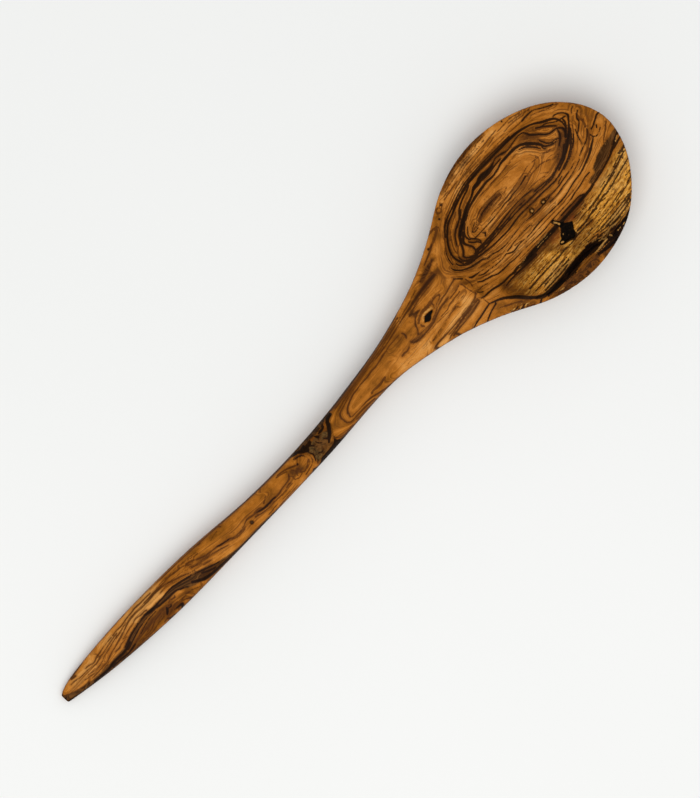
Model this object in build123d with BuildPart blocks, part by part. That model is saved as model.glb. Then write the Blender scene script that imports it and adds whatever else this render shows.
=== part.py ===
from build123d import *
import math
import os

# Wooden cooking spoon, carved from one board, lying at rest with its hollow up.
# X runs from the handle's tip to the far edge of the bowl, Y to the side, Z up.
# The origin is on the table, under the middle of the spoon's box.
# All lengths are in millimetres.

# Whole spoon
spoon_length = 350.0
bowl_width = 77.4
rim_height = 20.4
overrun = 6.0

# Handle
tip_width = 4.3
tip_thickness = 2.8
tip_lift = 1.2
tip_shift = 4.0
tip_flat_depth = 0.4
tip_round = 0.8
swell_width = 16.8
swell_thickness = 10.6
waist_width = 12.4
waist_thickness = 12.2
waist_shift = 2.5
arch_height = 5.0

# Bowl
belly_flat_depth = 0.5
nose_width = 4.4
nose_thickness = 1.2
nose_shift = 2.4
rim_width = 3.2
rim_round = 0.7
hollow_length = 94.0
hollow_depth = 14.2
hollow_rise = 15.0

# Inclusions in the wood
dead_knot_size = 11.0
dead_knot_depth = 2.0
pin_knot_radius = 1.1
pin_knot_depth = 1.6
neck_knot_size = 6.6
neck_knot_depth = 3.0
handle_pin_radius = 0.9
handle_pin_depth = 2.4
bark_pocket_length = 27.0
bark_pocket_depth = 3.6
bark_seam_width = 4.4
bark_seam_depth = 1.5

# Cross sections of the handle, from near the tip to the swell's end.
# A row holds where it stands along the spoon, its width against the swell's,
# its sideways shift against the tip's, its thickness against the swell's,
# its underside against the arch's height and the height of its widest line.
handle_shares = (
    (0.015, 0.440, 1.02, 0.50, 0.00, 0.50),
    (0.038, 0.600, 0.96, 0.67, 0.00, 0.50),
    (0.076, 0.780, 0.79, 0.84, 0.16, 0.50),
    (0.126, 0.925, 0.58, 0.95, 0.34, 0.50),
    (0.189, 1.000, 0.30, 1.00, 0.54, 0.50),
    (0.258, 0.942, 0.01, 1.04, 0.74, 0.50),
)

# Cross sections from the waist to the neck, in the same way,
# but against the waist's width, shift and thickness.
neck_shares = (
    (0.327, 1.085, 0.64, 0.95, 0.88, 0.50),
    (0.403, 1.000, 0.98, 1.00, 0.98, 0.50),
    (0.478, 1.035, 0.83, 1.05, 1.00, 0.51),
    (0.541, 1.115, 0.27, 1.11, 0.94, 0.53),
    (0.591, 1.355, 0.00, 1.17, 0.82, 0.57),
    (0.636, 1.870, 0.00, 1.26, 0.64, 0.63),
)

# Cross sections of the bowl: along the spoon, width against the bowl's,
# shift against the nose's, top and underside against the rim's height,
# and the height of the widest line.
bowl_shares = (
    (0.673, 0.390, 0.00, 0.955, 0.110, 0.70),
    (0.707, 0.505, 0.00, 0.965, 0.068, 0.77),
    (0.742, 0.655, 0.00, 0.975, 0.035, 0.83),
    (0.780, 0.842, 0.00, 0.985, 0.010, 0.87),
    (0.818, 0.960, 0.00, 0.990, 0.000, 0.89),
    (0.859, 1.000, 0.00, 0.995, 0.010, 0.90),
    (0.900, 0.951, 0.00, 1.000, 0.065, 0.89),
    (0.934, 0.840, 0.06, 1.000, 0.175, 0.87),
    (0.9615, 0.670, 0.42, 1.000, 0.345, 0.82),
    (0.9815, 0.472, 0.65, 0.995, 0.535, 0.75),
    (0.9930, 0.292, 0.85, 0.980, 0.700, 0.66),
    (0.9984, 0.141, 0.96, 0.955, 0.815, 0.58),
)

nose_top_share = 0.93
tip_end_shift_share = 0.92
end_widest_share = 0.5
rim_band_share = 0.9

# How full the corners of a cross section are, as powers of its angle's sine and cosine.
handle_corner_share = 0.80
top_corner_share = 0.85
belly_corner_share = 1.30
quarter_steps = 5


def place_along(along_share):
    """The X of a place that is given as a share of the spoon's length."""
    return (along_share - 0.5) * spoon_length


def section_points(width, shift, underside, top, widest_share, belly_share):
    """The points round one closed cross section, from its left widest point over the top."""
    widest = underside + widest_share * (top - underside)
    points = []
    for step in range(4 * quarter_steps):
        angle = math.pi - math.pi / 2 * step / quarter_steps
        cosine = math.cos(angle)
        sine = math.sin(angle)
        # The belly is less full than an ellipse, and the handle's sides are fuller.
        corner = top_corner_share if sine >= 0 else 1 + (belly_corner_share - 1) * belly_share
        side = handle_corner_share + (1 - handle_corner_share) * belly_share
        reach = top - widest if sine >= 0 else widest - underside
        across = math.copysign(abs(cosine) ** side, cosine)
        up = math.copysign(abs(sine) ** corner, sine)
        points.append((shift + width / 2 * across, widest + reach * up))
    return points


def section_rows():
    """Every cross section as its place, width, shift, underside, top, widest line and fullness."""
    tip_top = tip_lift + tip_thickness
    tip_end_shift = tip_end_shift_share * tip_shift
    rows = [(0.0, tip_width, tip_end_shift, tip_lift, tip_top, end_widest_share, 0.0)]
    for along, width, shift, thickness, underside, widest in handle_shares:
        low = underside * arch_height - tip_flat_depth * (1 - underside)
        high = low + thickness * swell_thickness
        rows.append((along, width * swell_width, shift * tip_shift, low, high, widest, 0.0))
    for along, width, shift, thickness, underside, widest in neck_shares:
        low = underside * arch_height
        high = low + thickness * waist_thickness
        rows.append((along, width * waist_width, -shift * waist_shift, low, high, widest, 0.0))
    for along, width, shift, top, underside, widest in bowl_shares:
        low = underside * rim_height - belly_flat_depth
        high = top * rim_height
        rows.append((along, width * bowl_width, shift * nose_shift, low, high, widest, 1.0))
    nose_top = nose_top_share * rim_height
    nose_low = nose_top - nose_thickness
    rows.append((1.0, nose_width, nose_shift, nose_low, nose_top, end_widest_share, 1.0))
    return rows


def top_at(along_share):
    """The height of the spoon's upper side on its middle line, between two cross sections."""
    rows = section_rows()
    for before, after in zip(rows, rows[1:]):
        if before[0] <= along_share <= after[0]:
            between_share = (along_share - before[0]) / (after[0] - before[0])
            return before[4] + between_share * (after[4] - before[4])
    return rows[-1][4]


def hollow_ellipsoid(growth):
    """The ellipsoid that the bowl's hollow is carved to, grown all round."""
    level_share = math.sqrt(1 - (hollow_rise / (hollow_rise + hollow_depth)) ** 2)
    half_length = hollow_length / 2 / level_share + growth
    half_width = (bowl_width / 2 - rim_width) / level_share + growth
    half_height = hollow_rise + hollow_depth + growth
    with BuildPart() as ellipsoid:
        Sphere(1, rotation=(0, -90, 0))
        scale(by=(half_length, half_width, half_height))
    middle = spoon_length / 2 - rim_width - hollow_length / 2
    return Pos(middle, 0, rim_height + hollow_rise) * ellipsoid.part


# The carved shape with its hollow, before the inclusions are told apart from the wood.
with BuildPart() as carving:
    for along, width, shift, low, high, widest, belly in section_rows():
        with BuildSketch(Plane.YZ.offset(place_along(along))):
            with BuildLine():
                Spline(*section_points(width, shift, low, high, widest, belly), periodic=True)
            make_face()
    loft()
    split(bisect_by=Plane.XY, keep=Keep.TOP)
    add(hollow_ellipsoid(0), mode=Mode.SUBTRACT)
    rim_band = rim_band_share * rim_height
    rim_edges = carving.edges().filter_by(lambda edge: edge.center().Z > rim_band)
    fillet(rim_edges.sort_by(SortBy.LENGTH)[-1], radius=rim_round)
    fillet(carving.faces().sort_by(Axis.X)[0].edges(), radius=tip_round)


# Black dead knot with its short arm, right of the bowl's middle.
# Its outline and its place are shares of its size, the spoon's length and the bowl's width.
dead_knot_place_shares = (0.8607, -0.2445)
dead_knot_outline_shares = (
    (0.28, 0.36), (0.47, 0.16), (0.25, -0.21), (0.08, -0.36), (-0.19, -0.23), (-0.40, -0.24),
    (-0.53, -0.14), (-0.43, 0.04), (-0.15, 0.14), (-0.01, 0.35), (-0.06, 0.64), (-0.05, 0.84),
    (0.04, 0.80), (0.12, 0.46),
)
knot_x = place_along(dead_knot_place_shares[0])
knot_y = dead_knot_place_shares[1] * bowl_width

with BuildPart() as bowl_dead_knot:
    with BuildSketch(Plane.XY):
        with BuildLine():
            Polyline(*[(knot_x + along * dead_knot_size, knot_y + across * dead_knot_size)
                       for along, across in dead_knot_outline_shares], close=True)
        make_face()
    extrude(amount=rim_height + overrun)
    add(hollow_ellipsoid(dead_knot_depth), mode=Mode.INTERSECT)
    add(carving.part, mode=Mode.INTERSECT)


# Two pin knots beside each other in the bowl.
pin_knot_places_shares = ((0.8695, -0.0254), (0.8513, -0.0120))

with BuildPart() as bowl_pin_knots:
    with BuildSketch(Plane.XY):
        with Locations(*[(place_along(along), across * bowl_width)
                         for along, across in pin_knot_places_shares]):
            Circle(pin_knot_radius)
    extrude(amount=rim_height + overrun)
    add(hollow_ellipsoid(pin_knot_depth), mode=Mode.INTERSECT)
    add(carving.part, mode=Mode.INTERSECT)


# Diamond-shaped dead knot in the neck.
neck_knot_place_shares = (0.6638, 0.0070)
neck_knot_outline_shares = ((0.57, 0.12), (-0.19, 0.22), (-0.43, -0.08), (0.02, -0.19))
neck_knot_x = place_along(neck_knot_place_shares[0])
neck_knot_y = neck_knot_place_shares[1] * bowl_width
neck_knot_floor = top_at(neck_knot_place_shares[0]) - neck_knot_depth

with BuildPart() as neck_dead_knot:
    with BuildSketch(Plane.XY.offset(neck_knot_floor)):
        with BuildLine():
            Polyline(*[(neck_knot_x + along * neck_knot_size, neck_knot_y + across * neck_knot_size)
                       for along, across in neck_knot_outline_shares], close=True)
        make_face()
    extrude(amount=neck_knot_depth + overrun)
    add(carving.part, mode=Mode.INTERSECT)


# Pin knot in the handle's lower half.
handle_pin_place_shares = (0.3240, -0.31)
handle_pin_floor = top_at(handle_pin_place_shares[0]) - handle_pin_depth

with BuildPart() as handle_pin_knot:
    with BuildSketch(Plane.XY.offset(handle_pin_floor)):
        with Locations((place_along(handle_pin_place_shares[0]),
                        handle_pin_place_shares[1] * waist_width)):
            Circle(handle_pin_radius)
    extrude(amount=handle_pin_depth + overrun)
    add(carving.part, mode=Mode.INTERSECT)


# Bark pocket right across the handle, above its middle.
bark_pocket_place_share = 0.454
bark_pocket_outline_shares = (
    (0.57, 0.24), (0.39, 0.03), (0.25, -0.16), (0.24, -0.24), (0.36, -0.41),
    (-0.34, -0.41), (-0.19, -0.23), (-0.20, -0.12), (-0.30, 0.04), (-0.57, 0.24),
)
bark_pocket_x = place_along(bark_pocket_place_share)
bark_pocket_floor = top_at(bark_pocket_place_share) - bark_pocket_depth

with BuildPart() as handle_bark_pocket:
    with BuildSketch(Plane.XY.offset(bark_pocket_floor)):
        with BuildLine():
            Polyline(*[(bark_pocket_x + along * bark_pocket_length, across * bark_pocket_length)
                       for along, across in bark_pocket_outline_shares], close=True)
        make_face()
    extrude(amount=bark_pocket_depth + overrun)
    add(carving.part, mode=Mode.INTERSECT)


# Black bark seam along the lower side of the hollow, just inside the rim.
# Each place is a share of the spoon's length and of the bowl's width.
bark_seam_line_shares = (
    (0.922, -0.420), (0.896, -0.415), (0.871, -0.385), (0.852, -0.372),
    (0.817, -0.392), (0.789, -0.400), (0.772, -0.396),
)
seam_upper_side = [(place_along(along), across * bowl_width + bark_seam_width / 2)
                   for along, across in bark_seam_line_shares]
seam_lower_side = [(place_along(along), across * bowl_width - bark_seam_width / 2)
                   for along, across in reversed(bark_seam_line_shares)]

with BuildPart() as bowl_bark_seam:
    with BuildSketch(Plane.XY):
        with BuildLine():
            Polyline(*seam_upper_side, *seam_lower_side, close=True)
        make_face()
    extrude(amount=rim_height + overrun)
    add(hollow_ellipsoid(bark_seam_depth), mode=Mode.INTERSECT)
    add(carving.part, mode=Mode.INTERSECT)


# The wood itself, with a pocket for each inclusion.
inclusions = {
    "bowl_dead_knot": bowl_dead_knot,
    "bowl_pin_knots": bowl_pin_knots,
    "neck_dead_knot": neck_dead_knot,
    "handle_pin_knot": handle_pin_knot,
    "handle_bark_pocket": handle_bark_pocket,
    "bowl_bark_seam": bowl_bark_seam,
}

with BuildPart() as spoon_body:
    add(carving.part)
    for inclusion in inclusions.values():
        add(inclusion.part, mode=Mode.SUBTRACT)


os.makedirs("parts", exist_ok=True)
for piece_name, piece in {"spoon_body": spoon_body, **inclusions}.items():
    piece.part.label = piece_name
    export_step(piece.part, f"parts/{piece_name}.step")
    box = piece.part.bounding_box()
    print(piece_name, len(piece.part.solids()), round(piece.part.volume, 1), box.min, box.max)
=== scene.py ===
# %% [markdown]
# # Olive wood cooking spoon
# One board of olive wood is carved into a long tapered handle, a flaring neck and a wide shallow
# bowl, then sanded and oiled. The carving is plain, so nearly everything the eye sees is the
# figure of the wood: dark heartwood rings, black mineral lines, dead knots and a band of
# torn golden sapwood. The work here is a fine skin over the carving and a map of that figure.

import math

import bpy
import numpy as np
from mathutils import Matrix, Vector
from mathutils.bvhtree import BVHTree


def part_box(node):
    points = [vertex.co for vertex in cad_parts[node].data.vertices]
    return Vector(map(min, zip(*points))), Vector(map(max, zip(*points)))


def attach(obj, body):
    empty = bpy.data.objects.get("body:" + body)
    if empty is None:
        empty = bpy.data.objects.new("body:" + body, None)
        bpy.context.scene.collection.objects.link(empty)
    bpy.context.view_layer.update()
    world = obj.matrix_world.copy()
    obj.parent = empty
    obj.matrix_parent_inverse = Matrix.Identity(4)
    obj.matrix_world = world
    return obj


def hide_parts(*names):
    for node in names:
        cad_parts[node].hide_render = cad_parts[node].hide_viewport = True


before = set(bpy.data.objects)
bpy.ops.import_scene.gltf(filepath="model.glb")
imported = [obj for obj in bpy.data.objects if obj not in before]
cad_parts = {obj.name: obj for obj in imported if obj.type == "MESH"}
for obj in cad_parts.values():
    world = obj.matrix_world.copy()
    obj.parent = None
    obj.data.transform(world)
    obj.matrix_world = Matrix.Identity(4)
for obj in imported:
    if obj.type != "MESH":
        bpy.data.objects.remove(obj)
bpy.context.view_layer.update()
MM = 0.001

# %% [markdown]
# ## Camera
# The spoon lies on a table and is seen from straight above, turned so that the bowl points to
# the upper right. A long lens far away keeps the bowl's rim and the handle in proportion.

# %% Camera above the table
TURN = math.radians(-47.19)
LOOK_AT = Vector((7.52, 1.34, 14.0)) * MM
CAMERA_HEIGHT = 9.0
FRAME_HEIGHT = 351.46 * MM
SENSOR = 36.0

bpy.ops.object.select_all(action="DESELECT")
bpy.ops.object.camera_add(
    location=(LOOK_AT.x, LOOK_AT.y, LOOK_AT.z + CAMERA_HEIGHT), rotation=(0.0, 0.0, TURN)
)
camera = bpy.context.object
camera.name = "camera"
camera.data.sensor_width = SENSOR
camera.data.lens = SENSOR * CAMERA_HEIGHT / FRAME_HEIGHT
bpy.context.scene.camera = camera
print("lens", round(camera.data.lens, 1), "mm")

# %% [markdown]
# ## Floor, lamp and sky
# A sheet of pale paper carries the spoon. One large soft lamp stands to one side of the spoon, so
# that its far side throws a soft shade, and an even pale sky fills the rest.

# %% Floor, lamp and sky
bpy.ops.mesh.primitive_plane_add(size=6.0, location=(0.0, 0.0, 0.0))
floor = bpy.context.object
floor.name = "floor"

LAMP_SPOT = Vector((-0.5, -0.5, 1.9))
bpy.ops.object.light_add(type="AREA", location=LAMP_SPOT)
lamp = bpy.context.object
lamp.name = "soft_lamp"
lamp.data.size = 2.0
lamp.data.energy = 25.0
lamp.data.color = (1.0, 0.985, 0.96)
lamp.rotation_euler = (LOOK_AT - LAMP_SPOT).to_track_quat("-Z", "Y").to_euler()

world = bpy.data.worlds.new("sky")
bpy.context.scene.world = world
world.use_nodes = True
sky = world.node_tree.nodes["Background"]
sky.inputs["Color"].default_value = (0.97, 0.985, 1.0, 1.0)
sky.inputs["Strength"].default_value = 0.62
bpy.context.scene.view_settings.view_transform = "Standard"

# %% [markdown]
# ## The figure of the wood
# Each row below is one ring, crack or stain followed with a pen over the spoon's face, in
# millimetres of the carving: x, y and half the line's width. A width holds until the next one
# that is given, and may stand alone in front. A row that starts with a blank carries on the row
# before it. Lines are rounded off by a curve through their points, and outlines are closed.

# %% Reading the pen lines
CURVE_STEP = 0.8


def rows(text):
    """The rows of a block, each carried on over the lines that start with a blank."""
    return text.strip().replace("\n ", "").split("\n")


def read_line(row):
    """Points of a pen line: x, y and half width."""
    points = []
    half_width = 0.0
    for spot in row.split(","):
        numbers = [float(word) for word in spot.split()]
        if len(numbers) != 2:
            half_width = numbers.pop()
        if numbers:
            points.append((*numbers, half_width))
    return np.array(points)


def round_off(points):
    """A smooth curve through the points, in steps of under a millimetre."""
    path = np.vstack([2 * points[0] - points[1], points, 2 * points[-1] - points[-2]])
    curve = []
    for before, start, end, after in zip(path[:-3], path[1:-2], path[2:-1], path[3:]):
        run = end - before
        bend = 2 * before - 5 * start + 4 * end - after
        twist = 3 * start - before - 3 * end + after
        steps = max(1, int(np.hypot(*(end - start)[:2]) / CURVE_STEP))
        for share in np.arange(steps) / steps:
            curve.append(0.5 * (2 * start + run * share + bend * share**2 + twist * share**3))
    curve.append(path[-2])
    return np.array(curve)


def pen_lines(text):
    return [round_off(read_line(row)) for row in rows(text)]


def plain_lines(text):
    return [read_line(row) for row in rows(text)]


def outlines(text):
    """Closed outlines, with their first point again at the end."""
    return [np.vstack([run, run[:1]]) for run in plain_lines(text)]


# %% Dark rings of the bowl
BOWL_RINGS = pen_lines("""
84.4 8.5 .4, 84.3 10.5, 84.8 12.5 .45, 86 14.8, 87.5 16.8, 90 19.4, 92.5 21.4, 95 22.7 .4, 97.5 23.5,
 100 24.5 .45, 104 25.9 .5, 108 27 .55, 112 27.8 .6, 116 28.1 .7, 120 28.2, 126 28 .65, 132 27.9 .6,
 138.5 27.7, 142.5 27.3, 145 26.8 .5, 147.5 26.1 .45, 150 25.2 .4, 152 24, 154 22.5 .5, 156.3 21.2 .55,
 158.3 20 .5, 159.5 18.8 .45, 160.3 16.8 .35, 160.3 14.8 .3, 160 13.5 .25
84.4 8.5 .4, 84.7 7 .35, 85 5.4 .3, 87 3.9 .35, 89 3.1, 91.5 2.5 .4, 94 2 .35, 100 1.1 .3, 105 .8, 110 .7,
 115 1.3, 118.8 1.5, 122.5 1.3, 127.5 1, 132.5 .8, 136 .5, 140 .4, 143.8 1, 147.5 2 .35, 150 2.8, 152.5 4,
 155 5.5, 157 7.3, 159.3 9.3, 160.8 11
101.5 22.9 .3, 103.3 23.8, 105 24.5, 107.5 25.3, 110 26, 112 27
80 8 .3, 80.3 6.3 .35, 81.3 5 .4, 82.5 3.8, 84 2.8, 85.5 2, 87.5 1.4 .35, 89.5 .9, 92.5 .3 .3, 94 -1 .25,
 97 -1.3, 99.5 -2.3, 103 -2.8, 106.3 -2.7 .2, 110 -2.4, 113.8 -2.1, 116.3 -2, 120 -2.5, 125 -3, 132.5 -2.8
148.8 29 .35, 151.3 29.1 .3, 155 28.8 .2, 156.5 28, 158.8 26.5 .25, 161.3 25 .3, 163.3 24 .35
84.8 7.8 .25, 85.5 6.3, 87 5 .3
87.4 7.3 .3, 88.5 8.2 .35, 89.5 9.3, 90.5 11 .4, 91.5 12.7 .5, 93 14.5 .7, 95 16 .8, 97.5 17.3 .9,
 100 18.6, 102.5 20 .8, 105 21.2 .7, 107.5 22.1 .45, 110 23, 111.3 23.8 .5, 113 24.5 .8, 115.5 24.6 .9,
 117.5 25.2 1.1, 120 25.2 1.2, 122.5 25 .9, 124.5 25.2 .65, 126.3 25.8 .4, 128.8 26.4 .25, 131.3 26 .35,
 132.5 25.6 .6, 134 25.1 .4, 136 24.9 .25, 138 25.3 .2, 142.5 25.8, 145 25.3 .25, 146 24 .35,
 146.5 22.5 .45, 148 21, 149.8 19.3, 151.3 17.5 .4, 153.3 16.3 .3, 156.3 15.8, 157.8 14.8 .4,
 158.8 13.3 .5, 158.3 11.8, 157 10.3 .7
87.4 7.3 .3, 88 6 .35, 89.3 5 .4, 91 4.1, 93.5 3.4, 97 2.9 .35, 100 3, 105 3 .3, 110 3.3, 115 3.4,
 118.8 3.5, 122.5 3.3, 126.3 3, 130 2.8, 135 2.3, 138.8 2, 141.3 2.5, 145 3.7 .35, 147.5 4.3 .4,
 150 4.9 .5, 152.5 5.9 .6, 155 7.3 .7, 157.5 9 .8, 159.5 10.6 .6, 161 12 .4, 162.3 13.5 .35,
 163.5 14.8 .4, 164.5 16 .5, 164.3 17.3 .35, 162.8 19 .3, 161.3 20 .25, 159.5 20.4
130 3.8 .35, 133.8 3.5 .3, 137.5 3, 140 2.8, 142.5 3.3, 147.5 4.6 .4, 150 5.5, 152.5 7.3, 153.8 8.3
153.8 4 .2, 156.3 5.3 .25, 158.3 6.8, 160 8.5 .2
100 17.4 .3, 104 19.6 .35, 106.3 20.4 .4, 108.8 21 .5, 111.3 21.5, 113.8 21.8, 116.3 22 .45,
 118.8 22.2 .5, 121.3 21.9, 123.8 22 .35, 126.3 22.5, 128.8 23.2 .45, 131.3 23.3 .6, 133.8 23.3,
 136.5 23.3 .7, 138.8 22.9 .65, 140.8 22.3, 142.5 21 .75, 144.3 19.3 .8, 145.8 17.5 .75, 146.8 15.8 .6,
 147.3 14.4 .45, 148.6 13.2 .35, 150.4 12.3 .3, 152.6 11.7 .25
147.6 17.8 .25, 148.4 16 .35, 149 14.4, 150.6 13.2 .3, 152.6 12.8 .25, 154.2 12 .2
81.6 8 .2, 81.9 10 .25, 82.4 12 .2, 83.4 14 .15
146.5 15 .3, 146.3 13.8, 147 13
101 22.4 .4, 99 20.5 .25, 97 19, 95 17.9 .2
93.3 5.5 .3, 93.5 7.3 .35, 92.5 9.3 .4, 92 11.3 .5, 93.5 13, 95 14.5
97.3 5.8 .25, 96.5 7.3 .3, 95 8.3, 93.8 10
102 13.8 .15, 99.5 12.8, 98 11.8 .2, 98.8 11, 101.3 11.3 .15
98.3 14.8 .15, 96 12.5 .2, 95.5 10.5, 96.5 9.3, 98.3 9, 103.8 9, 107.5 9 .25, 111.3 9.3, 114 9.4 .2,
 117 9.8, 120 9.6 .3, 122.5 10 .2, 125 10.1, 127.5 10.3, 130 10.8, 132 11.3 .3
104.5 13.3 .1, 108 14.3 .25, 113 14.7 .3, 117 14.4 .15
83 7.6 .25, 83.4 5.9 .3, 84.8 4.5, 87 3.2, 89.5 2.5 .25
85.8 8.6 .3, 85.9 7, 87 5.3 .35, 89 4.1, 92 3.1 .3
93 5.2 .35, 97 4.8, 102 4.8, 108 5.2 .3, 114 5.8, 120 6.1 .25, 126 5.8, 130 5
92 4.6 .3, 97 4, 104 4, 112 4.3, 118 4.7 .25, 124 4.4 .2
158 11.2 .4, 160 13, 161.4 15, 161.6 17 .3
152 9.6 .3, 154.6 11.4 .4, 156 13, 156.6 14.6 .3
138.6 21.4 .3, 141 20.4 .4, 143 18.4, 144.6 16.4, 145.4 14.6 .3
150.6 22.4 .3, 153.4 20.4, 156 18, 157.4 16.4 .25
88.3 18.9 .3, 91 21.8, 94.5 23.8, 98 25, 102 26.3 .35, 106 27.6 .3, 111 28.8, 117 29.3, 124 29.2,
 132 28.9 .25, 140 28.6 .2
89 12.8 .2, 90.5 14.8 .25, 92 16.6, 94.5 18.2 .3, 97.5 19.3, 100 20.8, 102 22.2
97.8 6 .25, 97.6 7.6 .3, 96.4 9.1, 94.8 10.8, 94.6 12.6 .35, 96 14.6 .3, 98.5 16.6
100.6 6.4 .2, 101.8 7.3 .3, 101 8.2 .25
144 2.4 .3, 147 3.2 .35, 150 4.4, 153 6.6 .4, 156 9
146 1 .25, 150 2.1, 153 3.4, 156 5.6 .2, 158.5 8.2 .25
118 24.3 .4, 122 24, 126 24.4 .3, 130 24.6
151.3 21.8 .2, 152.5 21.3, 154.5 20.8, 156.5 19.5, 158 18.3, 159.5 17.5, 161.5 17 .25, 163.3 16.5 .3
168.5 17 .2, 167 16.3, 166 15.3
168.8 14.3 .25, 167.3 13.3, 166 12 .35, 165.8 10.5 .25, 164.3 9.3, 162.5 8, 161.3 7.3 .2
162 9.3 .2, 161.3 7.8, 160.5 6, 160 4.3, 159.3 2.5
165.5 5.5 .25, 164 4, 162 2.5, 160 1.8, 157.5 1, 155 0 .2
174.5 6.8 .35, 173 6.8, 171.5 6, 170 5.3, 168.5 4.5 .3, 167 4.3
169.8 3.8 .25, 169 3
170 1.8 .2, 168 .8, 166 .5, 165 1.8, 164.8 3
""")

# %% Dark lines below the rings, from the kink of the hollow's near edge to the black seam
BOWL_LINES = pen_lines("""
82.5 -.8 .35, 83.3 -1.6 .5, 86.3 -2.3 .3, 89.5 -3 .2, 92.5 -3.8 .15
86 -3.3 .2, 88 -4.5 .3, 91.3 -4.9 .25, 95 -5.8, 98.8 -6, 101.3 -5.8 .2, 102.5 -6.6 .25, 104.5 -7.4,
 107.5 -7.1 .2, 110 -7, 112 -7.4, 115 -7.5, 120 -7.1 .25, 125 -7.1, 128.8 -7.4, 134 -7.6, 138 -7.4,
 141 -6.8 .3, 145 -6, 149 -5.6 .25, 152 -4.9 .3, 155 -3.9 .4, 157.5 -3 .45, 160 -1.8, 162.5 -.3 .4,
 164 .5 .3, 165 1.3 .2
83.5 -4.8 .2, 85 -6 .3, 87.5 -7, 90 -7.8, 92 -8.9, 95 -9.4, 98.8 -9.6 .25, 102.5 -10, 106 -10.1 .2,
 110 -10.3, 115 -10.6, 120 -10.8, 125 -10.5, 130 -10.4, 135 -10.4, 138.8 -10.2 .25, 141.3 -9.6, 145 -9.2,
 147 -8.8 .2, 149.5 -8.2, 152.5 -8.2
102.5 -5.3 .2, 105.5 -5.1, 106.5 -4.8, 110 -4.6, 113.8 -4.6, 117.5 -4.8, 118.3 -5.4
131 -4.3 .2, 135 -4.5, 137.5 -4.3, 141.3 -3.8, 145 -3.4, 148.8 -2.6, 151.3 -1.9, 153.8 -1
130 -1.3 .2, 132.5 -2.3, 136.3 -2.5, 139.5 -2.3 .25, 142.5 -1.8, 145 -1.5 .2, 148.8 -1, 150.8 -.3 .15
139.5 -1.5 .2, 141.3 -.8, 143 -.5
79.5 -7.3 .15, 81.3 -7.5, 84 -7.8, 86 -8.6
80 -7.8 .2, 81 -8.8, 82 -9.5
130 -12 .3, 133.8 -11.9, 137.5 -12, 140.5 -11.9, 142.5 -12.3, 144 -13
77.3 3.8 .25, 78.5 2.5, 80 1 .2
""")

# %% Black mineral lines: the seam through the bowl and the line to the bark
BLACK_LINES = pen_lines("""
79.5 -10.8 .25, 80.8 -11.4 .35, 83.8 -11.6, 86.3 -12.1 .4, 88.8 -12.8, 91.3 -13.3, 95 -13.4 .5,
 97.5 -13.8 .6, 100 -13.5, 103 -14 .8, 106.3 -14.1 1, 108.8 -14 1.1, 111.3 -13.9, 115 -13.8 1.05,
 118.8 -13.8 1, 122.5 -13.8, 126 -13.8 .9, 130 -13.8 .75, 134 -13.8, 137.5 -13.8, 141.3 -13.7 .7,
 145 -13.6 .6, 147.5 -13.4 .55, 150 -12.9 .5, 152.5 -12.5 .45, 156.3 -11.8, 158.8 -11.2, 161.3 -10.6,
 163.8 -9.8 .5, 166.3 -8.8 .6, 168 -8, 170 -6.8 .55, 172 -5.8 .5, 174.3 -5
91 -15.2 .2, 94 -14.9 .35, 98 -15 .4, 102 -15.2 .5, 106 -15.4, 110 -15.6 .4
167.5 -8.8 .4, 169.5 -8.3, 171.3 -7.8, 173.5 -7.3 .3
67.5 -17.4 .15, 69 -17 .3, 71 -16.6, 74 -16.2, 77 -15.6 .25, 80 -15.2, 81.3 -15.8 .3, 83.8 -16.8 .4,
 86.3 -18.3 .5, 88 -19.8 .65, 90 -21.6 .75, 91.8 -23.6 .8, 93.3 -25.6 .75, 95 -27.4 .7, 97 -29.2 .8,
 99 -30.4 .9, 102 -31 1
72 -20.6 .2, 75 -19.3 .25, 78 -18.2, 82 -17.2 .3
97.5 -30.5 .3, 95.5 -31.5 .4, 94 -33
99 -30.6 .8, 104 -31.2 1.1, 110 -31.4 1.2, 116 -31 1.4, 122 -31 1.5, 128 -31 1.3, 131 -32 .9
132 -33.2 .5, 136 -34.6 .7, 140 -35 1.1, 145 -34.4, 149 -33.6 .8, 152 -32.6 .5
137 -31.4 .25, 139.6 -32.4 .3, 142.6 -32.9 .4
130 -36 .4, 134 -36.6 .5, 138 -37 .6, 141 -36.8 .5
""")

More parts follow.
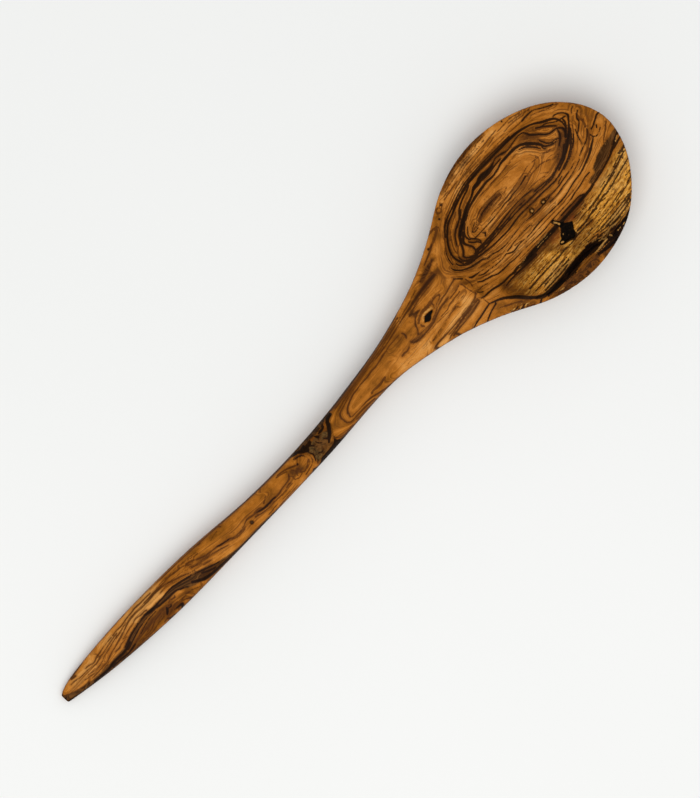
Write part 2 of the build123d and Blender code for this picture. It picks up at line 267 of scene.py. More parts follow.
# %% Soft brown rings of the bowl
BOWL_SOFT = pen_lines("""
103.5 13 .2, 107 14.1 .7, 111 14.5 .95, 115 14.5 .8, 118.6 14.1 .3
.7, 127 -12.6, 131 -12.5, 136 -12.5, 140.5 -12.7, 143 -13.2
.6, 128 -15.2, 131 -15.3, 136 -15, 141 -14.8
.8, 98 -15.2, 102 -15.8, 108 -16.1, 114 -15.9, 119 -15.6, 124 -15.4
.15, 81.5 8.5, 81.8 10.5, 82.5 12.3, 83.8 14.3, 85 16, 87 18, 89 20, 91.5 22.5, 93.3 24, 95 25, 98 25.9,
 100 26.8, 103 27.8, 106 28.8, 110 29.5, 115 30.2, 120 30.3, 128 30, 135 30, 138.8 29.8, 142.5 29.5,
 145 29.3, 148.8 29
.2, 153 27.5, 155 27, 157.5 25.8, 160 24.5, 162.5 23.8, 165 22.5
.15, 100.5 12, 102 13, 105 14.9, 108 15.8, 113 16, 118 15.9, 121 15.3, 123 14.4, 121.5 13.6, 118 13,
 113 12.8
.15, 109.5 10.8, 115 11.4, 120 11.3, 125 11.8, 128.8 12.3, 132.5 13, 136 13.7, 140 13.3, 142 14
.2, 132.5 11, 137.5 11.8, 140 12.9
.25, 117.5 8.6, 121.3 8.1, 125 7.9, 128.8 8.4, 131.3 9, 133.8 9.9, 136.3 10.1, 140 10.1, 142.5 9.5,
 145 8.3
.15, 140 13.1, 143 12.8, 145.5 12.3, 148 11.3
.2, 128.8 6.4, 132.5 6.2, 135.8 5.6, 137.8 5
.2, 137.5 7.2, 138.8 6.5, 139.2 6, 139.5 5.5, 140.3 5.2
.25, 102 7.8, 101.4 7, 101 6
.12, 119 20.3, 125 20.1, 130 20.3, 136 21
.2, 110 35.3, 114 35.8, 120 36.1, 125 36.3, 130 37, 133.3 36.9
.17, 112.8 32.8, 115 33.4, 117.5 33.8, 122.5 34, 127.5 34, 131.3 34.3, 136 34.6, 139 34.8
.2, 138 33.8, 142 33.7, 146 33.7, 148.5 33, 150.5 32.2
.2, 144 32.8, 147.5 32, 150 31.5, 152.5 30.8, 154.3 30.3
.17, 98.3 31.7, 101 31.6, 104.5 31.9
.18, 100 30.6, 103.3 30.9, 106.3 31.4, 110 31.9
.15, 130 32.5, 132.5 32.8, 135 33.3
.2, 79.8 20.5, 82.5 21, 85 22, 87 22.8, 88.3 23.8
.15, 85 24.8, 87.5 25, 89.5 24.3, 88.5 22.5
.12, 121.3 -6.4, 127.5 -6.5, 132.5 -6.6
.12, 94 -4, 97.5 -4.8, 101.3 -4.3, 106 -3.8
.15, 106.5 -6, 108.8 -6.3, 110.5 -7
.3, 173.8 1.8, 172 .5, 170.5 -.8, 168.5 -2, 167 -3.3, 166 -4
.5, 167.3 13.5, 166.8 11, 167 9, 166 7
.25, 77.9 0, 78.2 -3, 78.8 -6, 79.3 -8
.2, 80.8 0, 81 -2.5, 80.6 -4.3
.15, 79 -10, 79.8 -12, 80 -15
.6, 104 13, 107 14, 111 14.6, 115 14.7, 118.3 14.2
.3, 98.6 11.8, 100.4 12.2, 102 12, 104.5 12.2
.2, 87 10.5, 89.5 12, 92 12.6
.2, 88.8 16, 90.5 18, 93 19.8, 96.5 21.6, 99.5 23
.2, 86.6 10, 87 12.5, 88.5 15, 90.5 17.5
.25, 93 16.5, 96 19, 99 20.3
.2, 106 9.9, 112 10.3, 118 10.9, 124 11.4
.2, 112 20.3, 118 19.8, 124 20, 130 20.6
.15, 104 7, 110 7.4, 116 7.2, 122 7
.2, 88 -1, 92 -2, 96 -3.2, 100 -4.2
.15, 84 -3.2, 88 -5.6, 92 -6.8, 98 -7.5, 106 -8.4
.15, 110 -8.6, 118 -8.8, 126 -8.6, 134 -8.9, 142 -8.4
.15, 104 -11.6, 112 -11.8, 120 -12
.2, 152 2.4, 155 4, 158 6.3, 160.5 9, 163 12
.2, 163 1.5, 165 4, 166 7, 168 10
.2, 156 -1.8, 160 -.2, 163 2, 165 4.6
.2, 150 -4, 155 -2.6, 160 -.8
.2, 103 32.7, 108 33.5, 112 34, 118 34.9, 125 35.2, 131 35.6
.2, 107 30.2, 113 31.4, 120 32.4, 128 32.6
.2, 140 31.6, 146 31.4, 151 30.4
.3, 107 36.3, 112 37, 118 37.4, 126 37.9
.35, 80 20.8, 83 21.6, 86 22.9, 88.6 24.4
.3, 84 25.1, 87 25.4, 89.3 24.8
.35, 93.4 28.6, 94.2 30, 95.6 30.2, 96.3 29, 95.3 27.9, 94 28.1, 93.6 29.3
.3, 97 29.3, 98.2 30, 97.6 30.9, 96.8 30.2
.2, 110 -34.3, 112 -35.6, 113 -37.5
.25, 125.5 -34.5, 126.4 -36, 126.6 -38
.5, 110 -34, 113 -34.3, 116 -35, 118.4 -34.4
.3, 108.6 -33.6, 110.4 -35, 111.8 -36.8, 112.4 -38.4
.3, 103 -33, 105.4 -34.6, 107.4 -36.6
.3, 127 -36.2, 131 -36.4, 136 -37.6
.25, 82 -19.8, 85 -21.6, 88 -23.2, 90.5 -24.9
.3, 84 -25, 86 -26.4, 88.5 -27.3, 91 -28.6, 93.5 -30
""")

# %% Torn dashes in the sapwood band
SAPWOOD_DASHES = pen_lines("""
.08, 96 -20.4, 101 -20.1, 106 -19.8
.25, 127 -29.2, 131 -29.8, 134 -30.6, 136 -31.3
.28, 134 -30.1, 137 -30.8, 140 -31.5, 143 -31.5
.28, 132.6 -31.3, 136 -32, 139 -32.6
.22, 136.6 -29.5, 139 -30, 141.4 -30.4
.3, 140 -32.4, 144 -32.5, 149 -31.9, 153 -31.2
.2, 129.5 -28.6, 132.6 -28.9, 135 -29.5
.2, 133.6 -28.1, 137 -28.7, 139 -28.9
.25, 97 -24, 103 -23.6, 108 -23.4, 116 -23.6, 121 -23.1
.2, 101 -26.5, 109 -26.4
.2, 114 -26, 118.5 -26.3
.25, 120 -23.3, 124 -23.6, 129 -23.2
.18, 102 -27.7, 105 -27.7
.18, 110.5 -27.7, 112 -27.6
.18, 114 -27.7, 118 -27.7
.2, 104 -29.3, 114 -29.3
.25, 130 -21.5, 134.5 -21.7, 139 -21.3, 143 -21.3
.2, 130 -23, 136.5 -23.2
.18, 140 -23.3, 143 -23.2
.18, 146 -23, 149.5 -22.8
.3, 140 -19.2, 144 -19, 149 -18.2
.2, 146 -20.5, 149 -21
.25, 151.5 -17.7, 154 -17, 158 -16, 160 -15.6
.2, 150.5 -20, 155.5 -19
.2, 157 -18.8, 160.5 -18.2, 164 -17.4, 169 -16.3
.2, 151 -16.3, 154 -15.8
.2, 155.5 -15.4, 158 -15.3
.2, 161 -15.5, 163.5 -15
.2, 161.3 -14.3, 164 -13.5, 168 -12.4
.5, 168.5 -12, 171.5 -11.2
.2, 168 -13.3, 170 -13
.3, 166.8 -14.5, 167.2 -14.5
.18, 160 -23.5, 162 -22.8, 164 -22.7
.18, 151 -25.5, 156 -25
.18, 155 -24.5, 160 -24
.18, 162 -20.8, 166 -20.5
.2, 137.5 -28.9, 144 -28.8, 151 -28.3, 155 -27.6, 159 -27.3
.2, 142 -29.8, 150 -29.6, 156 -28.9
.3, 141.5 -31, 144 -31.3, 148 -31
.15, 137 -27.2, 146 -26.8, 152 -26.5
.35, 97 -23.8, 103 -23.5, 110 -23.5, 116 -23.6, 121 -23.2
.35, 130 -21.8, 135 -21.8, 139 -21.2, 143 -20.7, 147 -20, 150 -19.7
.3, 129 -23, 133 -23.2, 138 -23.3
.3, 101 -29.3, 106 -29.2, 112 -29.2, 116 -28.8
.3, 150 -17.7, 155 -16.8, 160 -15.5, 164 -14.5, 169 -13
.3, 144 -18.8, 150 -17.9, 156 -16.8, 160 -16.2
.3, 150 -20, 155 -19.3, 160 -18, 165 -17, 169.5 -16.2
.3, 138 -28.5, 145 -28.5, 152 -27.9, 157 -27.2
.35, 140 -29.7, 146 -29.6, 152 -29, 157.5 -28
.4, 141 -31, 147 -30.9, 153 -30.2, 156 -29.6
.2, 103 -27.4, 110 -27.5, 118 -27.4
.2, 98 -26.3, 106 -26.2, 116 -26.2
.15, 98 -22.2, 108 -21.9, 118 -22
.15, 132 -26, 140 -25.7, 148 -25.2, 156 -23.8
.15, 132 -19.6, 140 -18.9, 146 -18.4
.2, 160.5 -23.6, 164.5 -22.4
.12, 126 -26.6, 129 -26.8, 133 -26.7
.2, 133 -16.8, 137 -17.1, 141 -16.8
.3, 167 -11.8, 170 -11.6, 171.8 -12.2
.3, 84 -24.3, 86.5 -25.4, 87.8 -25.2
.3, 87 -26.4, 89 -27.2, 90 -26.6, 91.5 -27.6
""")

# %% Dark rings of the neck and of the handle's upper half
NECK_RINGS = pen_lines("""
35 5.7 .25, 40 6.6 .3, 45 7.6 .25, 50 8.6 .35, 54 9.2 .4, 57 9.6 .45, 60 9.9, 64 10.3, 67 10.6 .5,
 70 10.9, 72 10.8 .4, 74 10.9 .15
53.5 7.4 .4, 56 8 .3, 60 8.9 .25, 63 9.2 .2, 70 9.7 .15
66.5 13.8 .4, 68.5 14 .5, 70.5 14.8, 73 15.6 .6, 76.5 16.1 .2
52.5 7.2 .5, 53.5 6.6 .6, 54 5.9 .5, 55.5 5.5, 57.3 5.5 .15
55.5 5.4 .3, 54 4.9 .25, 52.5 3.9, 51.4 2.8 .35, 50.8 1.9 .4, 50.6 1.2 .35, 50.2 .4 .25, 49.5 -.6 .2,
 48.5 -1.3 .3, 50 -1.8 .25, 52 -2.1 .2, 54 -2.2, 57 -2.2 .25, 59 -1.9 .3, 61 -1.3, 63 -.7 .25, 65 -.3,
 67 -.2 .3, 70 .1 .2
44.2 -1.3 .4, 44.8 -2.2 .5, 46 -2.9 .45, 47.5 -3.4 .35, 49 -3.4, 51 -3.3, 54 -3.2, 57 -2.9, 59 -2.2,
 61 -1.5 .3, 63 -.9 .25, 65 -.6 .3, 67 -.5, 69 -.3 .25, 70 .2 .15
44.2 -1.3 .3, 45.5 -1.5 .2, 47 -1.9, 48.5 -2.3 .15, 50 -2.8
58 -1.5 .2, 61 -.5, 63 .5, 65 1, 67 1.5 .25, 68.5 1.9, 70 1.9 .3, 73 2.6, 75 3.1, 77.3 3.5
53.2 -.9 .25, 52.6 0 .3, 52.8 .8 .2
62.2 1.5 .2, 63 2.5, 62.8 3.3, 63 4 .25, 64.5 4.2 .2, 66.5 4.3, 68 3.8 .3, 67.5 3 .2, 66 2.3, 64.5 2,
 63 1.2
44.2 4.4 .25, 44.7 3.2 .35, 44.6 2.2 .4, 44 1.2 .25
-2 4.3 .5, 5 4.8 .45, 10 5.3, 16 6 .4, 22 6.8 .35, 30 8 .3, 38 9.5 .25, 48 11.5 .2
57 9.9 .5, 62 10.5 .6, 68 11.2 .7, 73 11.5 .5
68 13.4 .3, 71 14.2 .5, 74 15.3 .6, 77 16.6 .2
73 17.4 .3, 76 18.5 .4, 79 19.7 .5, 82 21.3 .3
-22 -8.6 .5, -6 -8.4 .45, 2 -8.2 .35, 8 -8.1 .3, 16 -8 .2
37 -2.6 .3, 38.5 -2.5 .35, 40 -2.8 .25, 42 -2.3 .15
50 -11.2 .6, 50.5 -10.6 .4, 52 -10.3 .35, 55 -10.4, 60 -10.4 .3, 65 -10.2, 68 -10, 71 -9.9 .35, 74 -9.6,
 77 -9 .3, 78.5 -8.2, 79.5 -7.3
49.6 -11 .4, 50.2 -11.8 .6, 50.6 -12.4 .4
57 -12.8 .2, 58.5 -12.3 .25, 60 -12.1 .3, 63 -11.8, 66 -11.2, 69 -10.9 .35, 72 -10.8 .3, 75 -10.5,
 78 -10.4
59 -13.2 .3, 60.5 -13 .5, 62 -12.9 .4, 64 -12.7 .35, 67 -12.6, 70 -12.4, 73 -12.1 .4, 76 -11.6 .35,
 78 -11.2 .3
60.5 -13.4 .6, 61 -14.3 .5, 61.5 -15.3 .4
""")

HANDLE_TOP_RINGS = pen_lines("""
-1.2 -2.5 .35, -1.3 -1.5, -.9 -.5 .4, 0 .3 .35, 1.5 .8 .25, 3.5 1.3 .2, 6 2, 9 2.7 .15, 12 3.3, 16 3.9 .2,
 20 4.4, 25 4.8, 30 5.2 .25, 35 5.8 .3
-1.2 -2.5 .35, -1.2 -3.8, -.8 -5 .3, .3 -5.8, 2 -6 .25, 5 -5.9 .2, 9 -6 .25, 13 -6.3, 15 -6.6 .2
1.9 -4.2 .3, 2 -3.4 .35, 2.6 -2.6 .3, 2.2 -2.2 .45, 2.8 -1.5 .4, 3.6 -.8, 4.5 -.2, 5.5 .2, 7 .8 .35,
 8.5 1.3, 10 1.7 .3, 12 1.9, 14 2.1 .2, 16 2.2 .25, 18 2.3 .35, 20 2.3 .3, 22 2.6 .35, 24 2.7 .3,
 26 2.8 .25, 28 3.1, 30 3.4 .3, 31.5 3.8 .35, 33.5 3.9 .15, 36 4.5 .1, 40 4.6, 43 4.8
1.9 -4.2 .25, 2.5 -4.7 .2, 4 -4.7 .15, 6 -4.8 .12, 9 -4.8 .15, 11.5 -4.7 .25, 13 -4.9 .35, 15 -5.3 .3,
 17 -5.8 .35, 19 -6.4, 21 -6.9 .3, 23 -7.2, 25 -7.7 .25, 27 -7.9, 29 -8.1 .2
-50 -3.8 .4, -48 -3.7, -46.5 -4, -44 -4 .35, -42 -3.6 .3, -40 -3.4 .25, -38 -3.2 .3, -36.5 -2.9 .35,
 -35.7 -2, -35.2 -1.3 .3
-39 2 .2, -37 1.6 .25, -35 1.1 .3, -33.5 .6 .35, -32.3 0 .4, -31 -.7, -30 -1.2 .35, -29.3 -1.3 .3
-40 -4.6 .2, -38 -4.4 .3, -37.3 -4.6 .25
-9.5 -5 .3, -8.5 -6.4, -7 -7.2, -5 -7.7, -3 -7.8 .25
-22.8 -7.5 .3, -21.5 -6, -21 -5 .2, -21.3 -3.5
""")

# %% Dark rings of the handle's lower half and of its end
HANDLE_RINGS = pen_lines("""
-95 5 .2, -93 4.5 .3, -91.5 3.7, -90.5 3, -89 2.3 .35, -87.5 1.6 .3, -86 1.1, -84 .7, -82 .4 .25,
 -80 .1 .4, -79 -.3 .45, -77 -.9 .4, -75 -1.3, -73.5 -1.7, -72.5 -2.3 .35, -71 -2.7 .3, -69 -2.9,
 -67 -2.7, -65 -2.3, -63.5 -1.7, -62.3 -1.4 .35, -61 -1.6, -59.5 -2 .3, -58 -2.3, -56.5 -2.6 .4, -55.5 -3,
 -54 -3.5, -52 -3.7, -50 -3.8
-58 -1.8 .2, -56 -1.8 .25, -54.5 -2.4, -54 -3.2
-59 -3.4 .25, -57.5 -3.7 .3, -56 -4.3 .25, -54 -4.8 .2, -51 -5 .15, -48 -4.8
-95 3 .2, -94 2.2 .3, -92.5 1.6 .25, -90 1.1, -88 .6, -86.5 .1 .35, -85 -.2 .25, -83 -.8, -81 -1.4 .3,
 -79 -2, -77.5 -2.6 .25, -76 -3.1 .15
-90 -.9 .2, -88 -1.5 .3, -86 -2 .15
-86 7 .25, -84 6.6
-73.5 5.9 .15, -72.5 5 .2
-140 3.6 .2, -138 4, -136 4.6, -134 5.3 .25, -132 6 .3, -130 6.4, -128 6.6, -126 6.7, -124 6.4,
 -122 6.2 .35, -120 6.1, -118 6, -116 6.2 .4, -114 6.3, -112 6.1, -110 5.9 .35, -108 5.5 .25, -106 5 .3,
 -104.5 4.3, -102.5 3.6 .35, -101 3.1, -99.5 2.5 .3, -98 1.8 .25, -96.5 1 .2
-120 6.8 .3, -117 6.8, -114 6.9, -111 6.6 .25, -108 6.6 .15, -104 6.6 .2, -102 6.2 .25, -100 5.8,
 -98 5.6 .2, -96 5, -94.5 3.8 .25, -93.5 2.9 .2
-140 7.2 .2, -137 7.5 .15, -134 7.3 .2, -131 7.8 .25, -129 7.9, -127 8 .3, -125 8.3, -123 8.2 .35,
 -121 8 .25, -118 8 .2, -115 7.8 .25
-138 2.8 .15, -135 3.4 .2, -132 4, -130 4.2 .15, -128 4.9 .2, -126 4.5, -124.5 4.2 .3, -122.5 4.3 .25,
 -121.7 3.8 .4
-104 6.9 .15, -101 6.4 .2, -98 6
-112 4.6 .2, -110 4.6, -107 4.4 .15, -105 3.8
-130 -3.6 .15, -127 -3.6 .2, -125 -3.1 .25, -123.5 -2.4 .3, -122 -1.9 .25, -120 -1.8, -118 -1.6 .2
-116.7 -4 .6, -115.8 -3.3, -115 -2.4, -114.8 -1.7 .4
-114.5 -2.5 .3, -113 -2.8 .35, -112.3 -2.3 .3, -113.5 -1.9
-112.5 -1 .2, -111.5 -.6, -110.5 -1 .3, -109 -1.4 .4, -108.5 -.8 .2
-113 -5 .3, -111.5 -5.2 .4, -110 -5.4 .5, -108.8 -5.8 .7, -109.5 -6.8, -111 -7.2 .4
-118 -5.4 .4, -117 -6.2 .5, -115 -6.7, -114 -7 .3
-106 -5.5 .2, -104.5 -6.5 .3, -103 -7.5
-140 -3 .35, -138 -2.9 .3, -136 -2.6, -134 -2 .25, -132 -1.4 .2, -130 -.7, -128 -.1 .15
""")

HANDLE_END_RINGS = pen_lines("""
-175.2 3 .8, -174.9 4.4 .9, -174.6 5.8 .6
-166 8 .35, -162 8.5 .25, -158 9 .1
-114 9.1 .1, -104 8.5 .2, -95 7.9, -80 6.6, -65 5.2 .25, -50 4 .3, -38 3.4 .35, -30 3.4 .4
-174.5 4.8 .5, -172.5 3.8 .35, -170 2.7, -167.5 1.8 .4, -165 1.2, -162 .9 .3
-168.5 5.9 .2, -167 5.9, -165 5.6, -163 5.2, -160 5, -158 4.9 .15
-166.5 7.6 .4, -165.3 7.3, -164.2 7 .3
-159 6.2 .15, -157 6 .2, -156 5.7, -155 5.3 .25, -154 5.2 .3, -153 5.5 .25, -152 5.9 .3, -150 6.2,
 -148.5 6.4, -146 6.8 .15, -143 7 .2, -141 7.2
-158 4.7 .15, -156 4.4 .2, -154 4 .25, -152.5 4.4, -151 4.8 .3, -149.5 4.9 .25, -147 5.3 .15, -144 5.9 .2,
 -141 6.3, -138 6.5
-160 3.3 .12, -157 2.7 .2, -154 2.4, -151 3 .15, -149 3.8, -146 4.3 .2, -143 4.9, -141 5.4 .15, -137 5.9
-160 1 .15, -157.5 1 .25, -154 .9 .2, -152 1.1, -150 1.1, -148.5 1.6 .3, -147 2.1 .25, -145 2.6 .2,
 -143 3, -140.5 3.6 .25, -138 4.2, -136 4.8 .2
-144.5 1.5 .2, -142 1.3 .3, -140.5 1.8 .2, -138.5 1.9 .15, -136 2.5 .2
""")

HANDLE_BLACK = pen_lines("""
-124 3 .4, -122 2.6 .7, -120 2.3 .8, -118 2.2 .5, -115 2.4 .3, -113 2.3, -110 2.5 .25, -107 2.4 .3,
 -104 1.8 .4, -101 1, -99 .4, -97 0 .3
-118 1.2 .3, -115 .9 .4, -113 .7, -111 .6 .3, -108 .5, -106 .1, -104.8 -.8 .4, -103 -1.3 .3
-99 -2.4 .5, -97.5 -3.4 .6, -96 -4.3 .7, -94 -5.4, -91 -6.2 .6, -88 -6.7 .5, -84 -6.9 .4
-140 -1.9 .3, -138 -1.5 .25, -135 -.6 .2, -132 .2 .3, -130 .7 .25, -127 1.1 .2, -124 1.4
-140 -.3 .3, -138 .2 .4, -135 1.2, -132 1.9 .35, -130 2.3, -127 2.7 .3, -124 2.8
-160 -.8 .6, -156 -1.3, -152 -1.6, -149 -1.2, -146 -1.2 .5, -143 -1.5 .6, -140 -1.2 .5, -137 -.3
-150 -2.2 .4, -146 -2.5 .3, -143.5 -2.8 .4, -141 -3.2 .3, -138 -3 .4, -136 -2.6 .3
-3.6 3.2 .9, -5.5 2.8, -6.8 1.7 .8, -7.3 .5 .9, -8.2 -.6, -9.2 -1.8 .8, -10.3 -2.9 .7, -11.5 -3.8 .6,
 -12.8 -4.8 .4
-93 -2.9 .4, -90 -4.6, -87 -5.6 .3
-116.7 -4 .4, -115.8 -3.3 .5, -115 -2.4, -114.8 -1.8 .3
-114.4 -2.6 .2, -113 -2.9 .3, -112.4 -2.4 .2
-112 -5.2 .2, -110.4 -5.4 .35, -108.8 -5.8 .5, -109.6 -6.8
-95 -4.6 .3, -90 -6.1 .4, -85 -6.7, -80 -7.1 .3, -76 -7.3 .25
-80 .1 .12, -78.5 -.4 .25, -76 -1.1, -74 -1.5 .2, -73 -1.9 .1
-57 -2.5 .15, -55.5 -3 .3, -53.5 -3.6 .35, -50 -3.8, -48 -3.7, -46.5 -4 .3
-174.3 1.6 .5, -171 .7, -168 -.1, -165 -.6 .4, -162 -1.1, -158 -1.7
-96 -.6 .15, -93 -1.8 .3, -90 -3 .35, -87 -4.2 .3, -84 -5.2 .2
-131 -1.4 .12, -127 -.2 .2, -123 .5 .25, -119 .5 .2
-22 -1.6 .3, -21.4 -3 .35, -21.8 -4.6 .3, -22.6 -6 .25
-19.6 .2 .3, -18.4 -1, -17.6 -2.4 .2
-16.6 -.4 .25, -16 -1.8 .3, -14.6 -2.8 .2
-19.4 -4.6 .3, -18 -5.4, -16.4 -5 .2
-13 -2 .3, -12.2 -3
-29 1.2 .2, -27 .9, -25.4 .2 .25, -24.4 -1 .2
-86 -7.2 .2, -80 -7.3 .35, -74 -7.7, -68 -7.8, -62 -7.9, -56 -8.1 .3, -50 -8.4 .25
""")

# %% Soft rings of the neck and handle
HANDLE_SOFT = pen_lines("""
.5, 52.5 1.8, 54.5 3.2, 57 4, 60 4.1, 62 3.9
.12, 62 4.8, 65 4.9, 68 4.9, 70 4.7
.2, 70 -.8, 74 -.5, 76.5 0
.8, 67 13.5, 69.5 14.2, 72 15, 74.5 15.7
.4, 73.5 15.5, 76.8 16.4
.5, 60 10.6, 63 11, 67 11.4, 70 11.7, 72.6 12.4
.2, 59 -2.7, 62 -3.3, 65 -3.4, 68 -2.6, 72 -2.2, 75 -1.9
.12, 52 -4, 58 -4, 65 -4.4, 70 -4.6, 75 -4.3
.1, 51 -8, 53 -7.8, 55 -7.3, 58 -6.8, 60 -6.4, 63 -6.1, 66 -5.6, 69 -5.2
.18, 0 3.3, 10 4.3, 20 5.5, 30 6.9, 38 8.3, 48 10.3
.15, 4 2.9, 12 3.9, 20 4.9, 30 6.2, 38 7.6, 46 9.2
.35, 52 6.8, 54 7.6, 53.6 6.4, 56.4 5.8
.25, 58 -11.4, 64 -11.2, 70 -10.6, 78 -9.8
.25, 62 -12, 68 -11.8, 74 -11.4, 78 -10.9
.2, -36 -2, -34.6 -3.4, -35 -4.8, -33.2 -5.8, -31 -5.4
.2, -33 -1, -32 -2.8, -32.8 -4.6
.2, -31 -2.2, -30 -3.6, -30.8 -4.8
.25, -31 -4.4, -29.4 -5.6, -27.8 -5.2, -26 -4.4, -24.6 -3.2
.25, -20.6 -.6, -19 -1.8, -19.6 -3.4, -18.2 -4.6
.25, -17.4 -1, -16.6 -2.6, -15 -3.4, -14.4 -5
.2, -13.4 -.8, -12.6 -2.2, -11.4 -2.6
.15, 0 1.5, 3 2.2, 8 3.2, 12 4, 17 4.5, 21 5, 28 5.7, 34 6.6, 40 7.7, 48 9.2, 56 11, 62 12.6
.2, 3 -6.8, 6 -7.1, 9 -7, 13 -7.4, 16 -7.6
.25, -5 -7.8, -2 -7.3, 0 -7.3
.45, 16 -3.8, 17.5 -3.6, 19 -3.8, 21 -3.9, 23 -3.8, 25 -3.4
.18, -50 -4.9, -47 -5.1, -43 -5.5, -39 -5.3, -37 -5.2
.12, -45 -6.9, -40 -6.9, -36 -6.5
.15, -48 -8, -44 -7.8, -36 -7.5
.3, -40 1.6, -38 1.2, -36 .6, -35 0
.25, -29 1.6, -27 1.4, -25 .6, -23.8 -.5, -23 -2, -22.8 -3.5, -23.3 -4.8, -24.5 -5.8, -27 -6.5, -30 -7
.15, -28.5 .9, -26.5 .5, -25 -.6, -24.3 -2, -24.3 -3.6, -25.2 -4.8, -27.5 -5.6
.2, -73 -2.6, -70 -3.3, -67 -3.4, -65 -3
.12, -74 -2.5, -72 -3.2, -70 -3.8, -68 -3.9, -66 -3.7
.12, -54 -6.9, -52.5 -7, -50 -6.7, -48 -6.7
.12, -80 4, -77 4.7, -75 4.8
.12, -112 7.3, -106 7.4, -100 6.8, -95 6, -91 4.9, -88 4.4
.15, -109 5.1, -104 4.7, -100 4.1, -97 3.2, -94 2, -92 1, -90 .2
.15, -105 3.5, -100 2.5, -97 1.3, -94 .3, -91 -.6
.12, -101 7.3, -96 6.7, -92 5.9, -88 5.4
.12, -134 -3.2, -128 -3, -124 -1.4, -118 -.6, -112 -.8
.2, -133 -4, -127 -4.6, -122 -4, -118 -3.6
.2, -120 -5.6, -116 -4.8, -113 -4.2, -109 -4.6, -106 -5.6, -104 -7.4
.2, -112 -6.4, -109 -5, -106 -4.2, -102 -4.6, -98 -6.2
.15, -143 -3.9, -138 -4.3, -130 -5.2, -122 -6.2
.2, -52 -2, -50.5 -1.2, -49 -.7
.15, -140 5.3, -137 5.8, -135 6.3, -132 6.9
.15, -126 -4.4, -123 -4, -121 -3.2, -119 -2.8
.3, -129 -.8, -127.5 -1.6, -127 -2.6, -128.5 -3
.2, -113.2 -3.8, -111 -3.4, -109.5 -3.6
.15, -163 3, -160 2.2, -157 1.5
.15, -154.5 .3, -151 .2, -149.5 .8
""")

# %% [markdown]
# Outlines of whole patches come next. Some are filled black, some are bark or a dark stain, and
# others only shift the wood toward brown, olive, red or the gold of the sapwood.

# %% Black fillings, bark and dark stains
BLACK_PATCHES = outlines("""
54.5 .1, 55.3 .8, 56.5 1.9, 58 2.1, 60 1.8, 61.2 1.4, 60.3 .7, 59 .4, 58.2 -.4, 57.2 -1.1, 56.2 -1,
 55.2 -.3
124.6 -10.7, 126 -10.5, 126.8 -11.8, 127.8 -13.5, 128.3 -14.8, 129 -15.5, 130.3 -16.5, 131.7 -17.4,
 130.8 -18.6, 129.4 -19.8, 129 -21, 129.3 -22.2, 128.2 -23.3, 126 -23.4, 124.8 -22.5, 122.8 -21.9,
 120.9 -21.2, 120.4 -20.2, 121.5 -19.3, 122.8 -19, 123.3 -18, 124.5 -16.8, 125.8 -16, 126 -14.8,
 125.3 -13.3, 124.7 -11.5
-29.5 3.2, -28 2.4, -26 1.8, -24.5 .7, -23.5 -.1, -22 -1.2, -21.2 -1, -20.5 .2, -19 .2, -18 1, -17.8 2.2,
 -19.5 2, -21 1.8, -21.5 2.7, -24 2.2, -25.5 3
-15.5 2, -15.3 1, -14.8 0, -14.3 -.5, -13.7 .2, -14.3 1.2
-13.5 1.3, -12 1.8, -10.5 1.8, -9.7 2.6, -8.5 3, -9.5 1.2, -11 .6, -12.5 .6
-26 -7.6, -24 -8.3, -22 -8.6, -24 -9, -28 -8.8
-21.5 -8, -20 -7, -18 -7, -15 -6.9, -12 -6.6, -10.8 -6, -10 -5, -9.5 -6.5, -8 -7.4, -5 -8, -5 -9, -24 -9
""")

BARK_PATCHES = outlines("""
138.5 -33.4, 142 -33, 150 -32.9, 154 -31.6, 155 -33, 150 -35.4, 144 -37.5, 139 -38.6, 134 -37.5,
 129 -36.4, 127 -35, 131 -34.9, 136 -35.2
99 -29.9, 101 -30.5, 106 -30.8, 112 -30.9, 114.5 -30.2, 120 -29.7, 128 -29.3, 133 -30.2, 137 -32.8,
 142 -33.2, 150 -33, 153 -31.6, 155 -31.8, 151 -34, 146 -36, 140 -37.4, 136 -35.5, 130 -34.8, 126 -33.5,
 122 -33, 118 -33.3, 116 -34, 112 -33.5, 108 -33, 104 -32.8, 100 -32.5
""")

